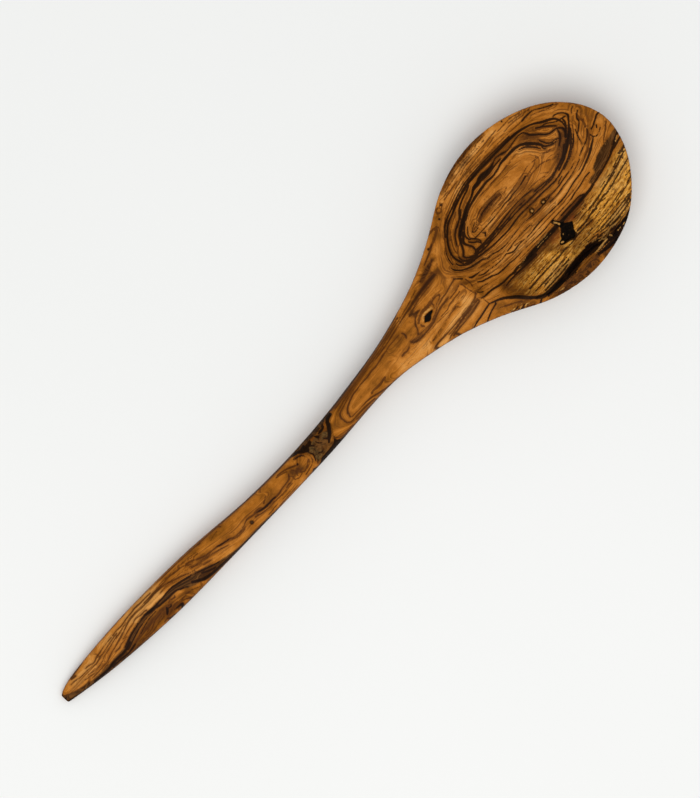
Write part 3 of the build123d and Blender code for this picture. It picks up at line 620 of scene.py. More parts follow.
STAIN_PATCHES = outlines("""
148.7 -11, 151 -10.2, 154 -9.9, 154.5 -8, 157 -6.5, 160 -5.3, 163 -4.7, 166 -3.8, 168.5 -4, 174.5 -3,
 174.5 -5, 170 -6.5, 166 -8.8, 160 -10.6, 155 -11.9, 149.5 -12.4
-140 .3, -138 1, -135 2, -132 2.5, -130 2.9, -127 3.2, -124 3.3, -122 3.3, -120.5 3.1, -117 3.1, -115 2.9,
 -112 2.5, -110 2.6, -108 2.7, -106 2.5, -104 2, -102 1.5, -100 .9, -98 .3, -96 0, -94 -.3, -92 -1.4,
 -90 -2.2, -88 -3, -86 -4, -84 -4.7, -82 -5.3, -79 -6, -76 -6.7, -73 -7.1, -70 -7.3, -65 -7.4, -60 -7.4,
 -55 -7.7, -52 -8, -48 -8.2, -50 -8.8, -60 -8.3, -65 -8.2, -70 -8.1, -75 -7.8, -80 -7.6, -84 -7.3,
 -87 -7.4, -90 -7, -92 -6.8, -94 -6.2, -96 -5.3, -98 -4.5, -100 -3.7, -102 -2.9, -104 -1.6, -106 -.5,
 -108 -.2, -111 -.2, -114 .3, -117 .7, -120 .9, -124 1, -127 .9, -130 .4, -132 0, -134 -.6, -137 -1.6,
 -140 -2.2, -141.5 -3.2, -138 -3.4, -134 -2.6, -131 -1.4, -134 -2.9, -140 -3.6, -146 -4.8, -150 -5,
 -160 -3, -170 -.8, -175 .6, -175.5 4.6, -173 4, -171 3, -169 2.2, -167 1.5, -165 1.1, -162 .8, -160 .4,
 -157 .1, -154 0, -150 -.2, -146 -.1, -143 0, -141 0
-30 3.4, -28 2.4, -25.5 2.2, -22 2.2, -17 2, -12 1.7, -9.5 2.4, -5 3.4, -3 3.6, -3 5, -30 5
""")

# %% Patches of another wood colour
BROWN_PATCHES = outlines("""
146 7.4, 148 8.3, 150 9.6, 151.5 11.4, 153.2 11.2, 153.4 9.6, 151 8.2, 149 7.2, 147 6.6
112 31.2, 116 32, 122 32.2, 122 31.4, 116 30.9
92 16, 95 18.4, 99 20.2, 104 20, 100 17.4, 96 15.6, 93.6 13
102.6 12.6, 106.6 14.8, 112 16, 117.4 15.6, 119.6 14.2, 113 12.8, 107 12.4
159 14.4, 160.8 12.6, 159 10.2, 156 8.2, 152 6, 148 4, 144 3, 146 5.8, 150 8.8, 153.4 11.6, 156.6 13.6
141 23.6, 145.6 24.6, 147.4 21.4, 149.6 18.6, 148 17.6, 146 19.6, 143.6 21.6
101 33.2, 106 33.6, 111 34.2, 111 36.4, 106 35
114 34.2, 120 33.9, 123 34.6, 122.5 36.4, 116 36.2
100 -33.2, 108 -33.6, 112 -34, 116 -34.6, 119 -33.9, 124 -33.8, 130 -35.4, 134 -35.8, 139 -37.2,
 139 -39.5, 129.5 -39.5, 129 -36.6, 126.5 -36.8, 125.4 -39.5, 112 -39.5, 104 -36
107 35.2, 114 36, 120 36.3, 130 37.2, 133 37, 133 40, 107 39
67 13.3, 69 13.6, 72 14.6, 75 15.4, 77.5 16.2, 76 16.8, 72 16.3, 69 15, 67 14.2
90 -14.6, 98 -14.8, 106 -15.2, 114 -14.9, 120 -14.9, 120 -16.2, 112 -16.6, 104 -16.6, 96 -16.2
43.8 -1, 45.4 -1.5, 48.2 -2.2, 51 -3, 50 -3.8, 47 -3.4, 44.6 -2.5
52.4 5.6, 54.4 5.4, 55 6.4, 54.6 8.2, 52.6 7.8
130 -12, 140.5 -12, 143.8 -13, 140.5 -14.9, 134 -15.3, 129 -15
103 -12.8, 112 -12.4, 120 -12.5, 124.5 -12.6, 124.5 -15.4, 119 -15.6, 112 -15.6, 104 -15.4
121 -33.5, 127 -33.7, 132 -35, 131.5 -36.8, 126 -36.6, 121 -35
""")

OLIVE_PATCHES = outlines("""
-23 -.5, -21 .3, -18 .8, -15.8 1, -13.5 1, -11.5 .4, -9.5 -.6, -10.2 -2.6, -12 -4, -13.5 -4.9, -11 -5.6,
 -11.5 -6.5, -15 -6.8, -18 -7, -20 -7, -22 -7.6, -22.5 -6, -21.6 -4, -21.8 -2.5
-114 .6, -108 .8, -104 .6, -102.6 .9, -105 1.9, -108 2.1, -113 1.9
""")

SAPWOOD_PATCHES = outlines("""
89 -15.4, 90 -19, 92 -22.4, 95 -26.4, 98.5 -30, 101 -30.3, 112 -29.6, 135 -29, 140 -32, 150 -33, 156 -31,
 163 -25, 168 -18.5, 172.5 -9.5, 168 -10, 163 -10.8, 158 -12.2, 152 -13.6, 146 -14.6, 138 -15, 126 -15,
 115 -14.8, 104 -15.1, 96 -14.7
""")

RED_PATCHES = outlines("""
118 -15.8, 121 -15.2, 124 -16.4, 125.6 -16.2, 124.2 -17, 123 -18.2, 122.6 -19, 120 -19.3, 118.2 -18
129 -15.3, 131 -15, 134 -15.4, 134 -17.2, 131.8 -17.5, 130.4 -16.6
121.5 -20.7, 122.2 -20.9, 122.9 -20.5, 122.7 -19.8, 122 -19.6, 121.5 -20.1
-7 2.9, -8.3 1.7, -9.4 .5, -10.3 -.9, -12 -2.6, -13 -3.6, -12.6 -1.6, -11.4 -.2, -10 1, -8.2 3
-17.4 0, -15.9 .1, -15.9 2, -17.4 2.1
138.6 -37.5, 134 -38.4, 134 -40, 139 -39
""")

# %% Pale dashes over the dark
PALE_DASHES = pen_lines("""
.4, 125.6 -11.6, 126.2 -12.6, 126.8 -14
.15, 170 -7.3, 172.5 -6
.2, 130.8 -29.7, 132.5 -30.5
.2, 133.2 -30.6, 133.9 -30.8
.25, 133 -31.7, 136 -33
.25, 130 -34, 135 -33.8
.25, 135.3 -31.3, 139 -32
.2, 140.6 -31.4, 141.4 -31.6
.25, 142 -34.7, 144 -34.7
.2, 145.5 -34.7, 147 -34.5
.06, 113 -12.8, 117 -12.9, 120 -12.8
.04, 112.5 -13.9, 117 -13.8, 122 -14
.12, 101 -13.9, 103.6 -13.6, 106 -12.9
.04, 93.6 -14, 97 -13.8
.25, 83 -24.6, 84.5 -24.4, 86 -24.9
.25, 85.5 -27.5, 87.5 -26.7, 89.6 -25.8
.25, 88.8 -28.4, 91 -27.2, 92 -27.9
.2, 86 -23.6, 88 -24.2
.35, 121.5 -20.2, 122.2 -20.5
.14, 124.4 -18.3, 124.9 -18
.08, 125.7 -20.4, 126 -20.3
.2, 131 -30, 132 -29.6, 133 -30.4, 134.6 -31.4
.25, 134 -32.2, 136 -31.6, 138 -32.2
.3, 136.6 -31, 139 -31.6, 141 -31.4, 144 -32
.25, 138.3 -33.6, 138.8 -34.8
.25, 128 -34, 132 -34.2, 136 -33.8
.2, 143 -32.1, 149 -31.9, 153 -31.2
.2, 141 -30.3, 147 -30.3, 153 -29.5
.2, 139 -29.1, 146 -29, 153 -28.3
.06, 119.6 -33.6, 121.6 -33.3, 124 -33.5
.08, 104.6 -34.2, 107.4 -34.6
.2, 131 -19, 138 -18.4, 144 -17.8, 150 -16.8
.2, 102 -28.4, 108 -28.3, 114 -28.3
.2, 100 -24.8, 108 -24.6, 116 -24.7
.3, 54.6 1.1, 55.8 2.3, 57.5 2.8, 60 2.5, 61.6 1.9
""")

# %% Pin knots and spots
# A pin knot has its centre, the half width of its dark ring and that of its pale core; a spot has
# its centre and half width.
PIN_KNOTS = [
    (129.2, -2.2, 1.15, 0.5),
    (122.9, -1.1, 1.05, 0.5),
    (-61.7, -4.0, 0.75, 0.0),
]
SPOTS = [
    (97.4, 30.0, 0.5),
    (92.3, 26.3, 0.45),
    (142.5, 35.4, 0.4),
    (79.3, 20.8, 0.6),
    (-29.3, -1.3, 0.5),
]

# %% [markdown]
# Broad light and dark areas of the wood are soft wide strokes: strength and half width, then the
# path. They stand for the slow change of colour from ring to ring.

# %% Broad light and dark areas
TONES = rows("""
-.35 3.5, 84 8, 86 14, 92 20, 100 24, 112 27, 126 27, 142 26, 152 22, 159 16
-.15 3, 90 3, 100 2, 120 2.2, 140 1.5, 152 5.5, 159 11
.3 4, 98 30, 108 33, 120 34, 135 35, 148 31
-.45 4, 86 22, 90 25, 94 28
-.2 3, 66 10.5, 72 11.5
.3 4, 92 -6.5, 98 -5, 110 -8.5, 122 -9
.35 3, 128 -5.8, 138 -5.6, 150 -4.2
.25 5, 100 7, 110 12, 122 12.6, 130 16, 138 18
.45 6, 35 -6.5, 42 -7, 48 -7.5
.5 5, 58 -7.5, 66 -7.6, 74 -7
-.75 1.6, 50.5 -8.4, 55 -7.7, 60 -7, 66 -6.1, 71 -5.5
.45 2.5, 62 -13.8, 70 -13.6, 78 -12.9
.4 2, 52 -11.6, 57 -12.4
.35 1.4, 112 35.3, 120 35.5, 130 35.8, 136 35.6
-.15 3, 60 11.4, 68 11.6, 76 12
.15 5, 40 3, 50 5.5, 60 6.6, 70 7
.6 3, -128 4.8, -122 5.2, -116 4.9, -112 4
.45 5, -165 4, -160 5, -150 7, -140 7, -128 8, -112 8
-.7 4, -144 -4.2, -136 -4, -128 -2.5, -120 -2.8, -114 -4
-.3 3, -110 -4.5, -104 -4, -98 -7
-.4 2.5, -138 -1.8, -130 -.8, -122 -.6, -112 -1.4
-.25 4, -110 6, -102 5.4, -94 3, -88 .5
-.4 4, 36 2.6, 42 2.6
-.3 3, 82 -19, 88 -24, 93 -29
-.5 4, 90 -15, 91.5 -18, 94 -22, 97 -26
-.3 2.5, 101 4.6, 112 5, 124 5, 130 5.6
-.35 3, 50 9.3, 60 10, 70 11, 75 11.6
-.3 2, 67 13.6, 72 14.9, 77 16.4
-.3 2.5, 73 17.6, 77 18.8, 82 21.3
.25 3, 71 -18, 75 -17.6, 80 -16.8
.2 4, 82 -13.6, 86 -14.6
-.3 3, 2 3, 15 4.6, 30 6.6, 45 9.4
-.16 6, -90 4, -70 1, -58 -1
-.28 6, -50 -2, -36 -2, -24 -3, -8 0, 4 -2, 20 0, 30 1
-.6 2.5, -33.5 -2, -31 -3.6, -29.5 -4
-.3 4, 116 -16.4, 124 -16, 134 -16
-.3 4, 22 -4, 25 -4.4
.08 5, -88 -2, -76 -4.6, -66 -5.5, -56 -5.6
-.15 4, 40 3, 50 4, 60 4.6, 72 5
-.55 4, 100 -35, 110 -36, 120 -37, 130 -38
.4 3, 127 -38.5, 131 -37.8
-.25 4, 168 4, 171 8, 170 12
.25 2.5, 103 26, 108 28, 116 28.4, 126 28.2
.15 3, 92 22, 98 22.6, 101 21
-.2 3, 84 17, 83.6 13, 84 8, 84 2, 86 -3
-.2 3, 93 8, 101 9, 104 11.6, 109 12.4
.2 2.5, 106 8, 116 8
-.28 3, 91 -1, 94 -4, 100 -2
-.3 2.5, 91 -3, 94 -5
-.2 2.5, 106 12.4, 110 12.4
.25 2, 106 29, 110 29.4
.15 2.5, 114 16, 118 17
-.15 2.5, 130 20, 133 21
-.28 3, 114 -.4, 120 0, 126 .4
-.25 3, 129 20, 134 20.4
-.15 3, 128 15.6, 134 15.6
.16 3, 106 -8.4, 118 -8.6
-.15 3, 130 4, 134 4
-.25 3, 142 8, 149 8.6
-.2 3, 147 16, 149 17
.25 3, 152 20.6, 154 20
-.25 3, 147 28, 154 30
-.25 3, 158 28, 163 24, 168 17
.15 3, 167 7, 169 4
-.12 3, 152 0, 154 1
.15 3, 142 -4, 144 -4
-.22 3.5, 79 15, 80 8, 80 0, 80 -8, 80 -15
-.2 3.5, 47 1, 49 5
.18 3, 23 -2, 26 -2
.14 3, 63 -6, 67 -6
.15 3, -156 1, -145 .8, -134 .6
.17 3, -138 5.4, -132 5.4
.15 2.5, -127 -3, -123 -3
-.3 2.5, -107 -3.4, -102 -3.4
.15 3, -98 5, -92 5
.15 3, -58 -3, -52 -3
-.75 3, 116 -18.2, 119 -20.6, 120 -23.8
-.6 3, 132 -22.6, 129 -24, 125 -25
-.7 3.5, 134 -17, 136.4 -20, 137 -23
-.5 3, 124 -26.5, 130 -26.7, 137 -26.5
-.4 3, 98 -19, 104 -19.8, 110 -19.8
-.3 2.5, 98 -17, 106 -17.4
-.2 4, 89 -14, 92 -17, 92 -22
.45 4, 152 -14.6, 158 -16.4, 164 -17, 168 -14
.35 3, 152 -20, 158 -22.4
.35 2, 104 -28.8, 112 -29, 119 -28.8
.5 2, 106 -25.8, 110 -26, 114 -25.8
""")

# %% [markdown]
# The run of the grain between the drawn rings follows them. Each guide below is a ring with its
# distance from the heart of the bowl's figure in front, and every point takes a blend of the
# guides near it.

# %% Guides for the run of the grain
GRAIN_GUIDES = plain_lines("""
0, 104 13.6, 110 14.1, 118 14.2
4, 103.8 9, 114 9.4, 125 10.1, 132 11.3
6, 104 14.9, 108 16.5, 118 17, 128 16, 136 13.7
10, 100 17.4, 111 21.5, 123 22, 136 23.3, 144.3 19.8, 148 14.8, 150 12.5
13, 88 8, 93 14.5, 105 21.2, 120 25, 138 25.3, 147 22.4, 158 15, 158.6 12, 150 4.9, 138.8 2, 118.8 3.5,
 100 3, 91 4.1, 87.4 7.3
16, 84.4 9, 90 19.4, 104 25.9, 126 28, 147.5 26.1, 159.5 18.8, 161 11, 152.5 4, 140 .4, 118.8 1.5,
 100 1.1, 89 3.1, 84.5 8
19, 80 9, 87 18, 100 26.8, 120 30.3, 142.5 29.5, 158.8 26.5, 166 18, 166 9, 158 -.5, 140 -2, 120 -2.5,
 103 -2.8, 89.5 .9, 80.3 6.3
24, 74 13, 84 22, 98 31, 115 35, 135 36, 150 32.2
24, 77.3 3.6, 86 -3.3, 98.8 -6, 115 -7.5, 134 -7.6, 149 -5.6, 162 -.3, 170 3
27, 79 -5, 87.5 -7, 98.8 -9.6, 115 -10.6, 135 -10.4, 152.5 -8.2, 166 -5
31, 79.5 -10.8, 95 -13.5, 111.3 -13.8, 130 -14, 147.5 -13.4, 161.3 -10.5, 174 -5
37, 90 -18, 100 -20.5, 118 -21, 134.5 -21.5, 150 -19.5, 169 -14
45, 96 -27, 104 -29.3, 118 -29, 135 -29, 150 -28.3, 162 -24
52, 100 -34.5, 118 -37, 136 -37.5, 148 -35
34, 67.5 -17.4, 77 -15.6, 83.8 -16.8, 90 -21.3, 95 -27.5, 98.3 -31
28, 35 5.7, 50 8.6, 60 9.9, 72 10.8
25, 36 4.5, 43 4.8, 54 5.2, 62 4.4, 70 4.6
24, 50 0, 58 -1.5, 65 1, 77.3 3.5
26, 44.2 -3, 51 -3.5, 59 -3, 70 -2, 77 -1.5
29, 51 -8, 60 -6.6, 69 -5.2
32, 50 -11, 60 -10.4, 71 -9.9, 79 -8
36, 56 -15, 66 -15, 78 -13.5
22, 1.9 -4.2, 2.4 -2.2, 5.5 .2, 12 1.9, 22 2.6, 33.5 4
22, 1.9 -4.4, 11.5 -4.7, 19 -6.4, 27 -7.9
25, -1.3 -2.5, 0 .3, 6 2, 20 4.4, 35 5.8
25, -1.2 -3.8, .3 -5.8, 9 -6, 15 -6.6
29, -4 4, 10 5.2, 25 6.6, 40 9
29, -8 -8, 6 -7.9, 14 -7.8
24, -50 -3.8, -42 -3.6, -35.2 -1.3, -33 .6, -39 2, -50 2.2
28, -50 -6.5, -38 -6.8, -28 -7
24, -95 5, -89 2.3, -82 .4, -75 -1.3, -70 -2.9, -62.3 -1.4, -55.5 -3, -50 -3.8
28, -95 .5, -86 -2.4, -76 -5, -66 -5.8, -54 -6.9
31, -95 -3.3, -84 -6, -70 -7.7, -55 -8.2
20, -95 8, -80 5, -66 3, -50 1.5
24, -150 2, -140 3.6, -130 6.4, -120 6.1, -110 5.9, -101 3.1, -95.5 .8
21, -150 6.2, -140 7.3, -125 8.3, -110 8, -98 6.2, -92 4
28, -160 1.5, -148 0, -140 1, -130 3.6, -118 3.4, -108 3, -98 .5
32, -160 -2, -150 -2.5, -140 -2.4, -130 .6, -118 .9, -106 -.3, -98 -4
37, -140 -4.4, -126 -4.4, -118 -3.6, -106 -6
20, 6 -2, 15 -1.8, 25 -1, 33 -.5
22.5, 33 0, 40 .3, 48 1, 54 1.2
24.5, 30 -4, 38 -4.5, 46 -4.4, 56 -4.3, 66 -4.2, 76 -3.6
27.5, 28 -6.5, 36 -7.3, 44 -7.8, 52 -8
23, -172 5.5, -165 5.6, -156 5.8, -150 6.2
27, -172 3.2, -165 2.6, -156 2.6, -150 3.2
""")

# %% [markdown]
# ## From pen lines to the wood
# For every point of the skin the distance to the nearest line or outline is kept in millimetres,
# positive inside it, so that the materials can decide how crisp or ragged its edge is.

# %% Distances to the lines and outlines
FAR = 3.0


def near_run(spots, points):
    """The spots that are close enough to a run of points to feel it."""
    low = points[:, :2].min(0) - FAR
    high = points[:, :2].max(0) + FAR
    return np.flatnonzero(np.all((spots > low) & (spots < high), axis=1))


def run_depth(spots, points):
    """How far each spot lies inside one run of points with their half widths."""
    best = np.full(len(spots), -1.0e3)
    for start, end in zip(points[:-1], points[1:]):
        run = end[:2] - start[:2]
        share = np.clip(((spots - start[:2]) @ run) / max(run @ run, 1e-9), 0.0, 1.0)
        gap = np.hypot(*(spots - start[:2] - share[:, None] * run).T)
        best = np.maximum(best, start[2] + share * (end[2] - start[2]) - gap)
    return best


def line_depth(spots, lines):
    """How far each spot lies inside the nearest line; negative outside."""
    depth = np.full(len(spots), -FAR)
    for points in lines:
        near = near_run(spots, points)
        if len(near):
            depth[near] = np.maximum(depth[near], run_depth(spots[near], points))
    return depth


def patch_depth(spots, patches):
    """How far each spot lies inside the nearest outline; negative outside."""
    depth = np.full(len(spots), -FAR)
    for outline in patches:
        near = near_run(spots, outline)
        if not len(near):
            continue
        x, y = spots[near].T
        inside = np.zeros(len(near), bool)
        for (xa, ya, _), (xb, yb, _) in zip(outline[:-1], outline[1:]):
            if ya != yb:
                crosses = (ya > y) != (yb > y)
                inside ^= crosses & (x < (xb - xa) * (y - ya) / (yb - ya) + xa)
        gap = -run_depth(spots[near], outline)
        depth[near] = np.maximum(depth[near], np.where(inside, gap, -gap))
    return depth


# %% Run of the grain and broad tone
def grain_run(spots):
    """The distance from the heart of the figure, blended between the guides."""
    total = np.zeros(len(spots))
    weight = np.zeros(len(spots))
    for guide in GRAIN_GUIDES:
        level = guide[0, 2]
        gap = level - run_depth(spots, guide)
        pull = 1.0 / (gap * gap + 0.4) ** 1.5
        total += pull * level
        weight += pull
    return total / weight


def tone(spots):
    """Sum of the broad light and dark strokes."""
    total = np.zeros(len(spots))
    for row in TONES:
        head, path = row.split(",", 1)
        strength, half_width = (float(word) for word in head.split())
        gap = run_depth(spots, read_line(path))
        total += strength * np.exp(-2.0 * (gap / half_width) ** 2)
    return total


# %% [markdown]
# Under the surface the rings lean: the board was sawn at a slant to the tree, so a ring seen on
# the face comes out on the underside further along and to one side. The knots and the bark stop
# inside the wood.

# %% Points, normals and the face above them
DOWN = Vector((0, 0, -1))
ABOVE_ALL = 60.0


def vertex_spots(piece):
    """The piece's points in millimetres."""
    spots = np.empty(len(piece.data.vertices) * 3)
    piece.data.vertices.foreach_get("co", spots)
    return spots.reshape(-1, 3) / MM


def put_spots(piece, spots):
    piece.data.vertices.foreach_set("co", (spots * MM).ravel())
    piece.data.update()


def upward_share(piece):
    """The upward share of each point's normal."""
    normals = np.empty(len(piece.data.vertices) * 3)
    piece.data.vertex_normals.foreach_get("vector", normals)
    return normals[2::3]


def face_height(roof, x, y):
    """The height of the upper face over a place, or None beside the spoon."""
    hit = roof.ray_cast(Vector((x, y, ABOVE_ALL)) * MM, DOWN)[0]
    return None if hit is None else hit.z / MM


def ramp_between(values, low, high):
    share = np.clip((values - low) / (high - low), 0.0, 1.0)
    return share * share * (3.0 - 2.0 * share)


# %% The figure at any depth
FACE_SKIN = 0.8
LEAN = np.array([1.35, 0.55])
KNOT_REACH = 2.5
LINE_SPREAD = 0.22
SLOPE_STEP = 0.5
BAND_BEND = 0.0042
BAND_START = 132.0
BAND_TOP = -14.0
BAND_FADE = 25.0

DARK_LINES = BOWL_RINGS + BOWL_LINES + BLACK_LINES + HANDLE_BLACK
WARM_LINES = NECK_RINGS + HANDLE_TOP_RINGS + HANDLE_RINGS + HANDLE_END_RINGS
SOFT_LINES = BOWL_SOFT + HANDLE_SOFT


def depth_under(roof, spots):
    """How deep each spot lies under the face, beyond a thin skin that counts as the face."""
    depth = np.zeros(len(spots))
    for index, (x, y, z) in enumerate(spots):
        top = face_height(roof, x, y)
        if top is not None:
            depth[index] = max(0.0, top - z)
    return np.maximum(depth - FACE_SKIN, 0.0)


def dark_and_core(flat, fading):
    """Depth inside the black figure, and inside the pale cores of the pin knots."""
    dark = np.maximum(line_depth(flat, DARK_LINES), patch_depth(flat, BLACK_PATCHES) - fading)
    core = np.full(len(flat), -FAR)
    for x, y, ring, heart in PIN_KNOTS:
        gap = np.hypot(*(flat - (x, y)).T)
        dark = np.maximum(dark, np.minimum(ring - gap, gap - heart) - fading)
        if heart:
            core = np.maximum(core, heart - gap)
    for x, y, size in SPOTS:
        dark = np.maximum(dark, size - np.hypot(*(flat - (x, y)).T))
    return dark, core


def sapwood_band(flat):
    """The streaks of the sapwood run along the spoon and bend with its far edge."""
    x, y = flat.T
    past = np.maximum(x - BAND_START, 0.0)
    return y - BAND_BEND * past**2 * (1.0 + (y - BAND_TOP) / BAND_FADE)


def draw_figure(piece, roof):
    """Writes the figure's maps on the piece; roof is the face that the pen lines lie on."""
    spots = vertex_spots(piece)
    depth = depth_under(roof, spots)
    flat = spots[:, :2] + depth[:, None] * LEAN
    inward = np.clip(depth / KNOT_REACH, 0.0, 1.0)
    fading = inward * FAR
    spread = inward * LINE_SPREAD

    dark, core = dark_and_core(flat, fading)
    pale = np.maximum(line_depth(flat, PALE_DASHES), core) - fading
    ring = grain_run(flat)
    shifts = SLOPE_STEP * np.eye(2)
    slope = np.hypot(*(grain_run(flat + shift) - ring for shift in shifts)) / SLOPE_STEP
    upward = upward_share(piece)
    maps = {
        "dark": np.clip(dark + spread, -FAR, FAR),
        "warm": line_depth(flat, WARM_LINES) + spread,
        "soft": line_depth(flat, SOFT_LINES) + spread,
        "torn": line_depth(flat, SAPWOOD_DASHES) + spread,
        "pale": np.clip(pale, -FAR, FAR),
        "bark": patch_depth(flat, BARK_PATCHES) - fading,
        "stain": patch_depth(flat, STAIN_PATCHES),
        "brown": patch_depth(flat, BROWN_PATCHES),
        "olive": patch_depth(flat, OLIVE_PATCHES),
        "sapwood": patch_depth(flat, SAPWOOD_PATCHES),
        "red": patch_depth(flat, RED_PATCHES) - fading,
        "band": sapwood_band(flat),
        "ring": ring,
        "drive": ramp_between(slope, 0.15, 0.55),
        "tone": tone(flat),
        # Painted shade: the steep sides, which turn away from the light, are marked here to be darkened
        # in the colour.
        "painted_side_shade": ramp_between(upward, 0.55, 0.1) * ramp_between(upward, -0.75, -0.2),
    }
    for name, values in maps.items():
        layer = piece.data.attributes.new(name, "FLOAT", "POINT")
        layer.data.foreach_set("value", values.astype(np.float32))
    print(piece.name, len(spots), "points mapped")


# %% [markdown]
# ## The skin of the carving
# The wood and its ingrown parts are copied and melted into one closed skin of even, small faces,
# so that the figure can be drawn on it finely, and the skin is smoothed a little. The upper side is
# divided once more, because that is where the figure is seen.

# %% Copying, melting and smoothing
MERGE_GAP = 0.002
LOOKS_UP = 0.05


def copy_of(name, label):
    piece = bpy.data.objects.new(label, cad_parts[name].data.copy())
    bpy.context.collection.objects.link(piece)
    return piece


def only(piece):
    bpy.ops.object.select_all(action="DESELECT")
    piece.select_set(True)
    bpy.context.view_layer.objects.active = piece


def melt(piece, voxel):
    """Closes the seams of a piece and gives it a new skin of even faces."""
    only(piece)
    bpy.ops.object.mode_set(mode="EDIT")
    bpy.ops.mesh.select_all(action="SELECT")
    bpy.ops.mesh.remove_doubles(threshold=MERGE_GAP * MM)
    bpy.ops.object.mode_set(mode="OBJECT")
    piece.data.remesh_voxel_size = voxel * MM
    piece.data.remesh_voxel_adaptivity = 0.0
    bpy.ops.object.voxel_remesh()


def divide_upper(piece):
    """Divides the faces that look up."""
    only(piece)
    bpy.ops.object.mode_set(mode="EDIT")
    bpy.ops.mesh.select_all(action="DESELECT")
    bpy.ops.object.mode_set(mode="OBJECT")
    normals = np.empty(len(piece.data.polygons) * 3)
    piece.data.polygons.foreach_get("normal", normals)
    piece.data.polygons.foreach_set("select", normals[2::3] > LOOKS_UP)
    bpy.ops.object.mode_set(mode="EDIT")
    bpy.ops.mesh.select_mode(type="FACE")
    bpy.ops.mesh.subdivide(number_cuts=1)
    bpy.ops.object.mode_set(mode="OBJECT")


def soften(piece):
    only(piece)
    smooth = piece.modifiers.new("sanding", "SMOOTH")
    smooth.factor = 0.5
    smooth.iterations = 2
    bpy.ops.object.modifier_apply(modifier=smooth.name)


# %% The hollow is a true egg shape
# Points within EGG_REACH of the egg are put on it. The pull fades below the rim, and nothing
# outside the hollow's own outline moves.
HOLLOW_CENTRE = np.array([124.8, 0.0, 35.4])
HOLLOW_HALF = np.array([54.78, 41.38, 29.2])
EGG_REACH = 0.9
EGG_FADE = 0.3
RIM_START = 18.4
RIM_FADE = 1.2
INSIDE_SHARE = 0.99


def true_hollow(spots):
    """Puts the points of the hollow on its true egg shape."""
    from_centre = (spots - HOLLOW_CENTRE) / HOLLOW_HALF
    length = np.linalg.norm(from_centre, axis=1)
    off = np.abs(length - 1.0) * HOLLOW_HALF[2]
    share = np.clip((EGG_REACH - off) / EGG_FADE, 0.0, 1.0)
    share *= np.clip((RIM_START - spots[:, 2]) / RIM_FADE, 0.0, 1.0)
    share *= np.hypot(*from_centre[:, :2].T) < INSIDE_SHARE
    on_egg = HOLLOW_CENTRE + from_centre / np.maximum(length, 1e-6)[:, None] * HOLLOW_HALF
    return spots + share[:, None] * (on_egg - spots)


# %% One skin over the carving
VOXEL = 0.95
NODES = list(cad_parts)
INGROWN = [name for name in NODES if name != "spoon_body"]

parts = [copy_of(name, "olive_wood_spoon" if name == "spoon_body" else name) for name in NODES]
bpy.ops.object.select_all(action="DESELECT")
for part in parts:
    part.select_set(True)
spoon = parts[NODES.index("spoon_body")]
bpy.context.view_layer.objects.active = spoon
bpy.ops.object.join()
melt(spoon, VOXEL)
divide_upper(spoon)
soften(spoon)
put_spots(spoon, true_hollow(vertex_spots(spoon)))
print("skin", len(spoon.data.vertices), "points", len(spoon.data.polygons), "faces")

# %% [markdown]
# ## Ingrown knots and bark
# Dead knots and bark share no fibres with the wood. Each is its own piece, set in a shallow
# socket of the skin and left a hair lower than the wood, as sanding leaves a softer core.

# %% Ingrown pieces
INGROWN_VOXEL = 0.4
SUNK = 0.05
TOP_LAYER = 0.45
roof_points = [point.co.copy() for point in spoon.data.vertices]
roof = BVHTree.FromPolygons(roof_points, [tuple(face.vertices) for face in spoon.data.polygons])
draw_figure(spoon, roof)

ingrown_pieces = {}
for name in INGROWN:
    plug = copy_of(name, name + "_grain")
    melt(plug, INGROWN_VOXEL)
    spots = true_hollow(vertex_spots(plug))
    for index, (x, y, z) in enumerate(spots):
        top = face_height(roof, x, y)
        if top is not None and top - z < TOP_LAYER:
            spots[index, 2] = top - SUNK
    put_spots(plug, spots)
    draw_figure(plug, roof)
    ingrown_pieces[name] = plug
    print(name, len(plug.data.polygons), "faces")

# %% Sockets in the skin
SOCKET = 0.7
LOOK_ROUND = 1.0
LOOK_FROM = Vector((0, 0, 5)) * MM
ON_FACE = 0.5
spots = vertex_spots(spoon)
sunk = np.zeros(len(spots))
for name in INGROWN:
    tree = BVHTree.FromObject(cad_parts[name], bpy.context.evaluated_depsgraph_get())
    low, high = (np.array(corner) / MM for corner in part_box(name))
    near = np.all((spots > low - LOOK_ROUND) & (spots < high + LOOK_ROUND), axis=1)
    for index in np.flatnonzero(near):
        above = tree.ray_cast(Vector(spots[index]) * MM + LOOK_FROM, DOWN)[0]
        if above is not None and abs(above.z / MM - spots[index, 2]) < ON_FACE:
            sunk[index] = SOCKET
spots[:, 2] -= sunk
put_spots(spoon, spots)
print("socket points", int((sunk > 0).sum()))

# %% [markdown]
# ## Materials
# Oiled olive wood: a warm golden brown ground that turns darker along the rings, nearly black
# lines with a trace of brown at their edges, and fine pores and rays. One shared group mixes the
# figure's maps into a colour, a roughness and a height, and each material adds its own finish.

# %% Helpers for node groups
def linear(red, green, blue):
    """A colour as a screen shows it, 0 to 255, as the shader needs it."""
    shares = [value / 255 for value in (red, green, blue)]
    return tuple(s / 12.92 if s <= 0.04045 else ((s + 0.055) / 1.055) ** 2.4 for s in shares) + (1.0,)


